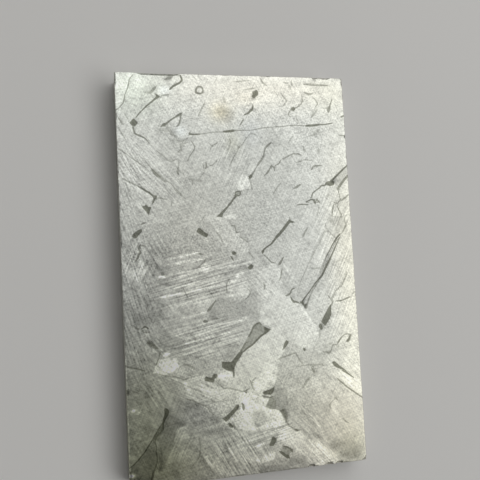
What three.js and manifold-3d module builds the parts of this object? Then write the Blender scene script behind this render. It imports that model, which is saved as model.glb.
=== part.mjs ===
// An iron meteorite slice: a sawn, ground and etched rectangle of metal that lies on its back face.
// Millimetres. The origin is the middle of the back face, +X runs across the slice, +Y along it,
// and +Z up through the etched face.
import * as THREE from "three";
import { mergeVertices } from "three/addons/utils/BufferGeometryUtils.js";
import Module from "manifold-3d";

// Driving dimensions.
const sliceWidth = 19.0;
const sliceLength = 31.8;
const sliceThickness = 2.5;
const edgeBreak = 0.12;
const etchDepth = 0.07;
const backEtchDepth = 0.05;
const crackDepth = 0.12;

// How far a cutting shape stands clear of the face it cuts, and the side of the bar that nicks a rim.
const cutterRise = 0.4;
const biteBar = 0.8;

const wasm = await Module();
wasm.setup();

// The slab's plan. The top right corner is ground off a little, and the bottom right one is nipped.
const halfWidth = sliceWidth / 2;
const halfLength = sliceLength / 2;
const slabPlan = [
  [-halfWidth, -halfLength],
  [-2.0, -halfLength],
  [4.4, -halfLength + 0.02],
  [halfWidth - 0.16, -halfLength],
  [halfWidth, -halfLength + 0.14],
  [halfWidth, 15.0],
  [halfWidth - 0.09, halfLength - 0.19],
  [halfWidth - 0.24, halfLength - 0.03],
  [8.5, halfLength],
  [-halfWidth, halfLength],
];

// Inclusions with a body: flat outlines on the etched face.
const inclusionOutlines = {
  diamond: [[-8.13, 12.18], [-7.86, 11.86], [-8.15, 11.57], [-8.49, 11.86]],
  topBead: [[1.72, 14.68], [2.02, 14.55], [1.99, 14.3], [1.72, 14.08], [1.5, 14.18], [1.52, 14.5]],
  ringBead: [[-3.12, 14.5], [-2.95, 14.86], [-2.66, 14.84], [-2.5, 14.55], [-2.72, 14.28], [-3.2, 14.24]],
  leftTriangle: [[-7.81, 5.32], [-7.45, 5.41], [-7.04, 5.18], [-7.29, 4.59], [-7.42, 4.9]],
  boneHead: [[-0.28, 6.32], [0.02, 6.4], [0.18, 6.22], [0.06, 5.98], [-0.24, 5.88], [-0.4, 6.1]],
  boneFoot: [[-1.55, 4.66], [-1.36, 4.5], [-1.45, 4.22], [-1.86, 4.34]],
  rightWedge: [
    [7.43, 6.82], [7.66, 7.02], [8.0, 7.3], [8.45, 7.66], [9.05, 8.12], [9.5, 8.5],
    [9.5, 8.16], [9.0, 7.74], [8.57, 7.32], [8.34, 6.86], [8.16, 6.62], [7.8, 6.64], [7.5, 6.66],
  ],
  leftBlock: [[-8.65, 3.08], [-8.32, 3.3], [-7.94, 3.44], [-8.0, 3.14], [-8.22, 2.9], [-8.42, 2.8]],
  centreBar: [
    [-3.62, 3.16], [-3.42, 3.42], [-3.2, 3.32], [-2.94, 3.1], [-2.68, 2.96], [-2.74, 2.76],
    [-2.92, 2.7], [-3.1, 2.84], [-3.36, 3.04],
  ],
  smallSquare: [[-0.87, 1.44], [-0.7, 1.52], [-0.54, 1.36], [-0.7, 1.2], [-0.87, 1.3]],
  centreSquare: [[0.4, 0.18], [0.7, 0.42], [0.88, 0.28], [0.74, 0.14], [0.57, 0.03]],
  longLens: [
    [8.32, 2.64], [8.05, 2.25], [7.85, 1.95], [7.6, 1.65], [7.44, 1.3], [7.14, 0.95], [6.92, 0.45],
    [6.76, 0.05], [6.58, -0.45], [6.2, -1.1], [5.65, -1.7], [5.1, -2.3], [4.65, -2.9], [5.02, -3.5],
    [5.25, -3.0], [5.5, -2.35], [5.95, -1.6], [6.5, -0.98], [6.8, -0.7], [7.2, 0.1], [7.55, 0.85],
    [7.9, 1.5], [8.2, 2.2], [8.5, 2.5],
  ],
  lowerLeaf: [
    [7.32, -3.15], [7.24, -3.5], [7.22, -3.95], [6.95, -4.35], [6.62, -4.84], [6.38, -4.5],
    [6.7, -4.0], [7.0, -3.55],
  ],
  leafTip: [[6.12, -4.85], [6.25, -4.7], [6.36, -4.85], [6.38, -5.1], [6.22, -5.06]],
  spearHead: [
    [0.45, -4.76], [0.7, -4.36], [0.96, -4.2], [1.14, -4.28], [1.4, -4.52], [1.7, -4.74], [2.04, -4.83],
    [1.6, -5.15], [1.05, -5.45], [0.6, -5.85], [0.05, -6.2], [-0.35, -6.5], [-0.6, -6.85],
    [-0.95, -7.3], [-1.1, -7.62], [-1.16, -7.95], [-1.36, -7.86], [-1.8, -7.7], [-2.1, -7.5],
    [-2.1, -7.08], [-1.75, -7.15], [-1.3, -7.2], [-1.0, -6.85], [-0.6, -6.35], [-0.2, -5.8],
    [0.06, -5.36], [0.28, -5.06],
  ],
  crouchedPatch: [
    [-3.5, -8.22], [-3.38, -8.05], [-3.2, -8.2], [-2.95, -8.2], [-2.82, -8.0], [-2.5, -8.14],
    [-2.76, -8.28], [-2.8, -8.6], [-3.1, -8.5],
  ],
  leftWedge: [[-7.85, -5.22], [-7.6, -5.05], [-7.2, -5.45], [-6.98, -5.68], [-7.35, -5.62], [-7.65, -5.4]],
  rightDrop: [[3.25, -5.8], [3.42, -5.95], [3.2, -6.12], [3.08, -6.36], [2.94, -6.54], [3.0, -6.14]],
  smallDrop: [[4.64, -6.52], [4.8, -6.58], [4.84, -6.72], [4.7, -6.78]],
  hookedDrop: [[8.82, -5.74], [8.9, -5.82], [8.72, -6.1], [8.58, -6.36], [8.38, -6.3], [8.56, -6.08]],
  nailHead: [
    [7.16, -7.74], [7.5, -8.05], [7.78, -8.28], [8.02, -8.52], [8.0, -8.64], [7.76, -8.58],
    [7.4, -8.3], [7.02, -8.04],
  ],
  lowerSpindle: [
    [-1.05, -10.45], [-0.9, -10.56], [-1.0, -10.74], [-1.3, -11.05], [-1.7, -11.4], [-1.97, -11.66],
    [-2.26, -11.4], [-1.9, -11.25], [-1.4, -10.85], [-1.2, -10.6],
  ],
  chainTop: [[1.05, -9.7], [1.6, -9.55], [2.04, -9.38], [1.85, -9.76], [1.6, -9.96], [1.2, -10.08]],
  chainMiddle: [[1.55, -10.36], [1.9, -10.32], [2.12, -10.6], [2.04, -11.1], [1.4, -10.94], [1.3, -10.8]],
  chainLow: [[2.34, -11.26], [2.76, -11.14], [3.0, -11.72], [2.9, -12.2], [2.7, -11.72], [2.46, -11.42]],
  bottomBlock: [[1.7, -13.2], [2.02, -13.5], [1.78, -13.92], [1.35, -13.85], [1.52, -13.45]],
  hollowBlock: [[2.5, -14.03], [2.8, -14.07], [3.28, -14.36], [3.1, -14.58], [2.8, -14.94], [2.24, -14.46]],
  bottomChip: [[3.38, -12.62], [3.56, -12.74], [3.86, -12.78], [3.7, -12.98], [3.52, -12.88]],
};

// Lamellae and open cracks: each point is x, y and the width there.
const lamellaSpines = {
  upperLeft: [
    [-6.14, 14.02, 0.28], [-6.36, 13.86, 0.14], [-6.72, 13.54, 0.12], [-7.36, 12.95, 0.09],
    [-7.9, 12.4, 0.07],
  ],
  upperLeftTail: [[-8.17, 11.6, 0.08], [-8.0, 10.96, 0.08], [-7.5, 10.77, 0.08], [-7.04, 10.32, 0.06]],
  upperSprig: [
    [-5.96, 11.66, 0.18], [-5.66, 11.8, 0.16], [-5.36, 12.04, 0.1], [-4.86, 12.36, 0.09],
    [-4.41, 12.7, 0.06],
  ],
  topHook: [[-4.32, 15.6, 0.08], [-4.22, 15.34, 0.09], [-4.68, 14.98, 0.1], [-5.18, 14.63, 0.08]],
  topComma: [[0.78, 12.6, 0.1], [1.1, 12.72, 0.13], [1.42, 13.06, 0.13], [1.54, 13.38, 0.08]],
  midSpine: [
    [2.9, 10.28, 0.06], [2.42, 9.88, 0.1], [2.22, 9.3, 0.13], [1.98, 8.82, 0.14], [1.64, 8.4, 0.06],
    [1.46, 8.12, 0.08], [1.2, 7.72, 0.2], [0.96, 7.44, 0.2],
  ],
  boneNeck: [[-0.3, 5.96, 0.16], [-0.6, 5.58, 0.1], [-0.98, 5.12, 0.1], [-1.48, 4.6, 0.16]],
  leftBranch: [
    [-7.99, 6.86, 0.1], [-7.54, 6.56, 0.12], [-7.18, 6.34, 0.12], [-6.76, 6.0, 0.2], [-6.92, 5.5, 0.08],
  ],
  leftRunner: [[-9.31, 9.76, 0.07], [-8.76, 9.38, 0.08], [-8.31, 8.99, 0.08], [-7.36, 8.33, 0.08]],
  leftFork: [[-7.63, 9.13, 0.06], [-7.2, 8.66, 0.08], [-6.86, 8.16, 0.1], [-6.3, 7.76, 0.16]],
  wedgeArm: [[9.44, 7.46, 0.14], [9.1, 7.1, 0.16], [8.66, 6.6, 0.12], [8.54, 6.3, 0.07]],
  rightHook: [[5.66, 5.37, 0.08], [6.12, 5.57, 0.1], [6.34, 5.46, 0.12], [6.41, 5.26, 0.16]],
  centreBlade: [
    [4.3, 4.04, 0.12], [4.02, 3.76, 0.24], [3.5, 3.14, 0.28], [3.0, 2.6, 0.22], [2.5, 2.05, 0.13],
    [2.02, 1.7, 0.1], [1.68, 1.4, 0.2],
  ],
  leftCrook: [[-8.2, 2.15, 0.1], [-8.05, 1.72, 0.14], [-8.22, 1.46, 0.14], [-8.4, 1.1, 0.08]],
  midTick: [[3.06, 0.36, 0.14], [3.22, 0.58, 0.12], [3.38, 0.84, 0.06]],
  sideCrack: [[-9.3, -6.87, 0.07], [-9.0, -7.0, 0.08], [-8.5, -7.12, 0.08], [-8.12, -7.24, 0.12]],
  nailShank: [[8.0, -8.57, 0.12], [8.4, -8.88, 0.09], [8.75, -9.15, 0.05]],
  rightStringer: [[7.42, -9.27, 0.07], [8.1, -9.85, 0.1], [8.9, -10.45, 0.1], [9.42, -10.86, 0.08]],
  bottomStem: [
    [-6.52, -10.3, 0.3], [-6.6, -10.66, 0.24], [-6.84, -11.16, 0.16], [-7.16, -11.74, 0.24],
    [-7.52, -12.24, 0.26], [-7.98, -12.76, 0.14], [-8.46, -13.44, 0.14], [-9.2, -14.16, 0.13],
    [-9.46, -14.34, 0.1],
  ],
  bottomBranch: [
    [-7.42, -12.5, 0.12], [-7.42, -13.1, 0.12], [-7.4, -13.9, 0.14], [-7.66, -14.6, 0.2],
    [-7.86, -15.3, 0.26],
  ],
};
const crackSpines = {
  longCrackWest: [
    [-3.8, 11.0, 0.08], [-3.0, 11.0, 0.06], [-1.37, 11.17, 0.06], [-0.9, 11.22, 0.13],
    [-0.17, 11.3, 0.12], [0.5, 11.33, 0.06], [1.7, 11.42, 0.06], [2.63, 11.57, 0.07],
    [4.03, 11.68, 0.07], [5.6, 11.77, 0.06], [6.1, 11.77, 0.12], [7.1, 11.85, 0.12], [8.38, 12.0, 0.06],
  ],
  cornerSeam: [
    [-8.08, 15.66, 0.07], [-8.38, 15.1, 0.08], [-8.74, 14.08, 0.07], [-8.92, 13.4, 0.07],
    [-9.44, 12.86, 0.07],
  ],
  topSeam: [[-6.63, 15.7, 0.1], [-5.8, 15.69, 0.1], [-5.09, 15.68, 0.08]],
};

// The same inclusions where they come out on the back: each leans through the metal, so its outline
// there is shifted sideways by its lean.
const backShift = {
  longLens: [-1.3, 0.6],
  lowerLeaf: [-1.3, 0.6],
  spearHead: [-1.3, 0.6],
  lowerSpindle: [-1.3, 0.6],
  rightWedge: [-1.3, 0.6],
  centreBar: [0.7, 0.9],
  hollowBlock: [0.7, 0.9],
  leftWedge: [0.7, 0.9],
  nailHead: [0.7, 0.9],
};

// Places where the sawn rim broke or was rubbed: x, y, the way the edge faces in degrees from +Y,
// the length along the edge and how far each side of the bite reaches.
const rimBites = [
  { x: -6.3, y: halfLength, facing: 0, length: 2.6, leg: 0.22 },
  { x: 7.9, y: halfLength, facing: 0, length: 1.0, leg: 0.24 },
  { x: 7.09, y: halfLength, facing: 0, length: 0.25, leg: 0.3 },
  { x: -halfWidth, y: -14.9, facing: 90, length: 0.5, leg: 0.3 },
  { x: -halfWidth, y: -8.8, facing: 90, length: 0.4, leg: 0.2 },
  { x: halfWidth, y: 10.9, facing: -90, length: 0.3, leg: 0.22 },
  { x: 4.75, y: -halfLength, facing: 180, length: 0.4, leg: 0.28 },
  { x: 6.2, y: -halfLength, facing: 180, length: 0.7, leg: 0.22 },
  { x: 7.1, y: -halfLength, facing: 180, length: 0.5, leg: 0.26 },
];

// A closed three.js geometry as a solid, with its shared corners merged.
function toSolid(geometry) {
  const bare = geometry.clone();
  bare.deleteAttribute("normal");
  bare.deleteAttribute("uv");
  const merged = mergeVertices(bare);
  return new wasm.Manifold(new wasm.Mesh({
    numProp: 3,
    vertProperties: Float32Array.from(merged.attributes.position.array),
    triVerts: Uint32Array.from(merged.index.array),
  }));
}

// The solid's vertices and triangles as a three.js geometry, flat shaded.
function toGeometry(solid) {
  const mesh = solid.getMesh();
  const indexed = new THREE.BufferGeometry();
  indexed.setAttribute("position", new THREE.BufferAttribute(mesh.vertProperties, 3));
  indexed.setIndex(new THREE.BufferAttribute(mesh.triVerts, 1));
  const flat = indexed.toNonIndexed();
  flat.computeVertexNormals();
  return flat;
}

function planShape(points) {
  return new THREE.Shape(points.map(([x, y]) => new THREE.Vector2(x, y)));
}

// The slab with its deburred edges: a bevel as wide as it is deep, kept inside the plan.
function slab() {
  const geometry = new THREE.ExtrudeGeometry(planShape(slabPlan), {
    depth: sliceThickness - 2 * edgeBreak,
    bevelEnabled: true,
    bevelThickness: edgeBreak,
    bevelSize: edgeBreak,
    bevelOffset: -edgeBreak,
    bevelSegments: 1,
  });
  geometry.translate(0, 0, edgeBreak);
  return toSolid(geometry);
}

// The outline of a spine: every point pushed out to both sides by half its width, square to the
// line from the point before it to the point after it.
function spineOutline(spine) {
  const left = [];
  const right = [];
  spine.forEach(([x, y, width], i) => {
    const before = spine[Math.max(i - 1, 0)];
    const after = spine[Math.min(i + 1, spine.length - 1)];
    const runX = after[0] - before[0];
    const runY = after[1] - before[1];
    const reach = width / 2 / Math.hypot(runX, runY);
    left.push([x - runY * reach, y + runX * reach]);
    right.unshift([x + runY * reach, y - runX * reach]);
  });
  return [...left, ...right];
}

// A straight-sided punch with the given plan, from low to high.
function punch(outline, low, high) {
  const geometry = new THREE.ExtrudeGeometry(planShape(outline), {
    depth: high - low,
    bevelEnabled: false,
  });
  geometry.translate(0, 0, low);
  return toSolid(geometry);
}

function frontPunch(outline, depth) {
  return punch(outline, sliceThickness - depth, sliceThickness + cutterRise);
}

function backPunch(outline, shift) {
  const moved = outline.map(([x, y]) => [x + shift[0], y + shift[1]]);
  return punch(moved, -cutterRise, backEtchDepth);
}

// A bar laid along the rim and turned on its corner, so that its flat side slopes from the face
// down to the side of the slab, one leg in and one leg down.
function rimBiteBar({ x, y, facing, length, leg }) {
  const bar = new THREE.BoxGeometry(length, biteBar, biteBar);
  const reach = (biteBar / 2 - leg / Math.SQRT2) / Math.SQRT2;
  bar.rotateX(Math.PI / 4);
  bar.translate(0, reach, reach);
  bar.rotateZ(THREE.MathUtils.degToRad(facing));
  bar.translate(x, y, sliceThickness);
  return toSolid(bar);
}

function meteoriteSlice() {
  const cutters = [
    ...Object.values(inclusionOutlines).map((outline) => frontPunch(outline, etchDepth)),
    ...Object.values(lamellaSpines).map((spine) => frontPunch(spineOutline(spine), etchDepth)),
    ...Object.values(crackSpines).map((spine) => frontPunch(spineOutline(spine), crackDepth)),
    ...Object.entries(backShift).map(([name, shift]) => backPunch(inclusionOutlines[name], shift)),
    ...rimBites.map(rimBiteBar),
  ];
  const solid = cutters.reduce((body, cutter) => body.subtract(cutter), slab());
  const etchedIron = new THREE.MeshStandardMaterial({
    color: 0xa7aaa3,
    roughness: 0.4,
    metalness: 1.0,
  });
  const mesh = new THREE.Mesh(toGeometry(solid), etchedIron);
  mesh.name = "meteorite_slice";
  return mesh;
}

const group = new THREE.Group();
group.add(meteoriteSlice());

export default group;
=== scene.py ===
import math

import bpy
import numpy as np
from mathutils import Matrix, Vector


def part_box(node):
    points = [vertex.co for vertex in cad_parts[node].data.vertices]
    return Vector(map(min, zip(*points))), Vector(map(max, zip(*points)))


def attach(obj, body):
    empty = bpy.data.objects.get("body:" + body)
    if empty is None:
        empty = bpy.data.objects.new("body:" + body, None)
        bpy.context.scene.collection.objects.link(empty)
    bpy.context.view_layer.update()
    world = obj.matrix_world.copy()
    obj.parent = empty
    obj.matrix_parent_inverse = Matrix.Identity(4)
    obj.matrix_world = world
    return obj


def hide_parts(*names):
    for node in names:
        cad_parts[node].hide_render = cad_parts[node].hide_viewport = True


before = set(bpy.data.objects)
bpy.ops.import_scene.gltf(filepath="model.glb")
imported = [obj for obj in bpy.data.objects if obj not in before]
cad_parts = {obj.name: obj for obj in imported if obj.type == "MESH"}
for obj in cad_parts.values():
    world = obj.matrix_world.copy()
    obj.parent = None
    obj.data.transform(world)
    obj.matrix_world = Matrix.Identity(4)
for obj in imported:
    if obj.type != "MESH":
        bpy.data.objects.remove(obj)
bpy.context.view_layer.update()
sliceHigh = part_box("meteorite_slice")[1]  # the slice is centred and lies on z = 0
mm = 0.001  # everything below is said in millimetres and made in metres
farAway = 1e6  # a distance that every other one is less than
hair = 1e-6  # a distance that no real step is less than
displayGamma = 2.2  # tones are judged by eye as steps of the display and wanted as light
darkestTone = 0.1

# Inclusions with a body, as closed outlines read off the etched face, in mm.
# Each group leans through the metal by so many mm across and along for each mm of depth.
darkBodies = [
    {"lean": (-0.52, 0.24), "outlines": {
        "spearTip": [(1.34, -4.42), (1.66, -4.7), (2.05, -4.83), (1.62, -5.13), (1.25, -5.3), (1.5, -4.95)],
        "spearFoot": [(-0.3, -6.42), (-0.62, -6.86), (-0.95, -7.28), (-1.1, -7.6), (-1.15, -7.96),
            (-1.36, -7.88), (-1.8, -7.74), (-2.12, -7.5), (-2.12, -7.03), (-1.74, -7.1), (-1.33, -7.13),
            (-1.02, -6.8), (-0.62, -6.37)],
        "lowerLeaf": [(7.4, -3), (7.26, -3.3), (7.24, -3.62), (7.25, -3.97), (7.04, -4.37), (6.84, -4.62),
            (6.63, -4.92), (6.3, -4.5), (6.53, -4.12), (6.83, -3.68), (7.08, -3.28)],
        "leafTip": [(6.06, -4.88), (6.2, -4.58), (6.36, -4.78), (6.44, -5.16), (6.21, -5.17)],
        "lowerSpindle": [(-1.05, -10.42), (-0.86, -10.56), (-1, -10.8), (-1.3, -11.1), (-1.7, -11.45),
            (-1.99, -11.7), (-2.3, -11.4), (-1.92, -11.22), (-1.43, -10.82), (-1.22, -10.58)],
        "stemHead": [(-6.66, -10.13), (-6.44, -10.28), (-6.33, -10.45), (-6.44, -10.76), (-6.68, -11.02),
            (-6.86, -11.08), (-6.72, -10.62), (-6.74, -10.3)],
        "lensTip": [(4.65, -2.88), (4.85, -2.72), (5, -3.06), (5.2, -2.9), (5.02, -3.5), (4.9, -3.18)],
        "spindleHead": [(0.84, 7.56), (1.1, 7.73), (1.23, 7.56), (1.02, 7.32), (0.88, 7.38)],
        "spindleFoot": [(-1.86, 4.37), (-1.56, 4.6), (-1.36, 4.66), (-1.48, 4.22)],
    }},
    {"lean": (0.28, 0.36), "outlines": {
        "diamond": [(-8.13, 12.24), (-7.8, 11.85), (-8.12, 11.5), (-8.5, 11.86)],
        "topBead": [(1.93, 14.76), (2.1, 14.52), (2, 14.24), (1.84, 14.14), (1.72, 13.98), (1.46, 14.12),
            (1.58, 14.36), (1.53, 14.58), (1.72, 14.6)],
        "leftTriangle": [(-7.86, 5.4), (-7.57, 5.3), (-7.45, 5.48), (-7.3, 5.24), (-7.02, 5.24),
            (-7.16, 4.95), (-7.28, 4.5), (-7.46, 4.86), (-7.68, 5.1)],
        "leftBlock": [(-8.64, 3.03), (-8.51, 2.82), (-8.28, 2.82), (-8.05, 3.1), (-7.82, 3.34),
            (-7.85, 3.55), (-8.1, 3.47), (-8.28, 3.35), (-8.47, 3.23)],
        "centreBar": [(-3.62, 3.16), (-3.45, 3.54), (-3.22, 3.38), (-2.94, 3.12), (-2.66, 2.97),
            (-2.74, 2.75), (-2.92, 2.7), (-3.1, 2.82), (-3.38, 3)],
        "smallSquare": [(-0.9, 1.48), (-0.73, 1.56), (-0.44, 1.39), (-0.52, 1.21), (-0.71, 1.22),
            (-0.84, 1.3)],
        "centreSquare": [(0.33, 0.16), (0.66, 0.47), (0.9, 0.31), (0.79, 0.12), (0.56, -0.02)],
        "wedgeHead": [(7.35, 6.78), (7.5, 7), (7.7, 7.07), (7.92, 7.07), (8.1, 7.16), (8.25, 7.02),
            (8.18, 6.7), (7.8, 6.64)],
        "crouchedPatch": [(-3.54, -8.22), (-3.4, -8.06), (-3.2, -8.18), (-2.95, -8.22), (-2.86, -7.97),
            (-2.53, -7.98), (-2.46, -8.2), (-2.74, -8.32), (-2.8, -8.63), (-3.1, -8.54), (-3.52, -8.42)],
        "rightDrop": [(3.46, -5.95), (3.25, -5.73), (3.05, -6), (2.96, -6.3), (2.83, -6.6), (3.16, -6.36),
            (3.35, -6.12)],
        "smallDrop": [(4.57, -6.5), (4.75, -6.51), (4.88, -6.69), (4.73, -6.8), (4.62, -6.69)],
        "hookedDrop": [(8.86, -5.74), (8.67, -5.8), (8.57, -6.02), (8.41, -6.14), (8.37, -6.29),
            (8.63, -6.32), (8.73, -6.1)],
        "nailHead": [(6.99, -7.84), (7.2, -7.74), (7.4, -7.89), (7.58, -8.09), (8.09, -8.5), (8.8, -9.12),
            (8.05, -8.62), (7.48, -8.34), (7.18, -8.18)],
        "chainTop": [(1.03, -9.7), (1.4, -9.58), (1.7, -9.53), (2.05, -9.32), (1.97, -9.7), (1.72, -9.98),
            (1.5, -9.93), (1.14, -9.9)],
        "bottomBlock": [(1.63, -13.17), (1.86, -13.28), (2.02, -13.5), (1.83, -13.77), (1.7, -13.93),
            (1.38, -13.92), (1.33, -13.8), (1.54, -13.45)],
        "bottomChip": [(3.39, -12.76), (3.59, -12.8), (3.87, -12.91), (3.84, -13.02), (3.65, -13.01),
            (3.47, -12.89)],
        "smallBead": [(4.8, 13.17), (4.88, 13.32), (5.06, 13.36), (5.2, 13.23), (5.16, 13.05),
            (4.95, 12.98)],
        "upperHead": [(-6.38, 14.22), (-6.02, 13.99), (-6.3, 13.82)],
    }},
]

# Duller bodies between dark borders: the same reading, drawn as a mid grey field.
greyFields = [
    {"lean": (-0.52, 0.24), "outlines": {
        "spearBody": [(0.45, -4.76), (0.7, -4.36), (0.96, -4.2), (1.14, -4.28), (1.4, -4.52), (1.7, -4.74),
            (2.04, -4.83), (1.6, -5.15), (1.05, -5.45), (0.6, -5.85), (0.05, -6.2), (-0.35, -6.5),
            (-0.6, -6.35), (-0.2, -5.8), (0.06, -5.36), (0.28, -5.06)],
        "stemNeck": [(-6.9, -11.2), (-7.2, -11.6), (-7.5, -12), (-7.7, -12.4), (-7.3, -12.6), (-7, -12),
            (-6.8, -11.6)],
        "boneHead": [(-0.26, 6.27), (-0.02, 6.34), (0.1, 6.2), (0.02, 6.02), (-0.2, 5.93), (-0.32, 6.08)],
    }},
    {"lean": (0.28, 0.36), "outlines": {
        "leftWedge": [(-7.87, -5.2), (-7.65, -4.97), (-7.4, -5.12), (-7.1, -5.48), (-6.95, -5.75),
            (-7.2, -5.74), (-7.5, -5.54), (-7.8, -5.37)],
        "hollowBlock": [(2.5, -14.03), (2.8, -14.07), (3.28, -14.36), (3.1, -14.58), (2.8, -14.94),
            (2.24, -14.46)],
        "chainBody": [(1.55, -10.2), (1.9, -10.05), (2.1, -10.5), (2.12, -11), (1.9, -11.12), (1.3, -10.97),
            (1.24, -10.8), (1.45, -10.5)],
        "chainLow": [(2.34, -11.26), (2.76, -11.14), (3, -11.72), (2.9, -12.2), (2.7, -11.72),
            (2.46, -11.42)],
        "forkWedge": [(-6.97, 8.15), (-6.75, 8.22), (-6.5, 8.01), (-6.2, 7.72), (-6.04, 7.6), (-6.3, 7.49),
            (-6.75, 7.73)],
    }},
]

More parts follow.
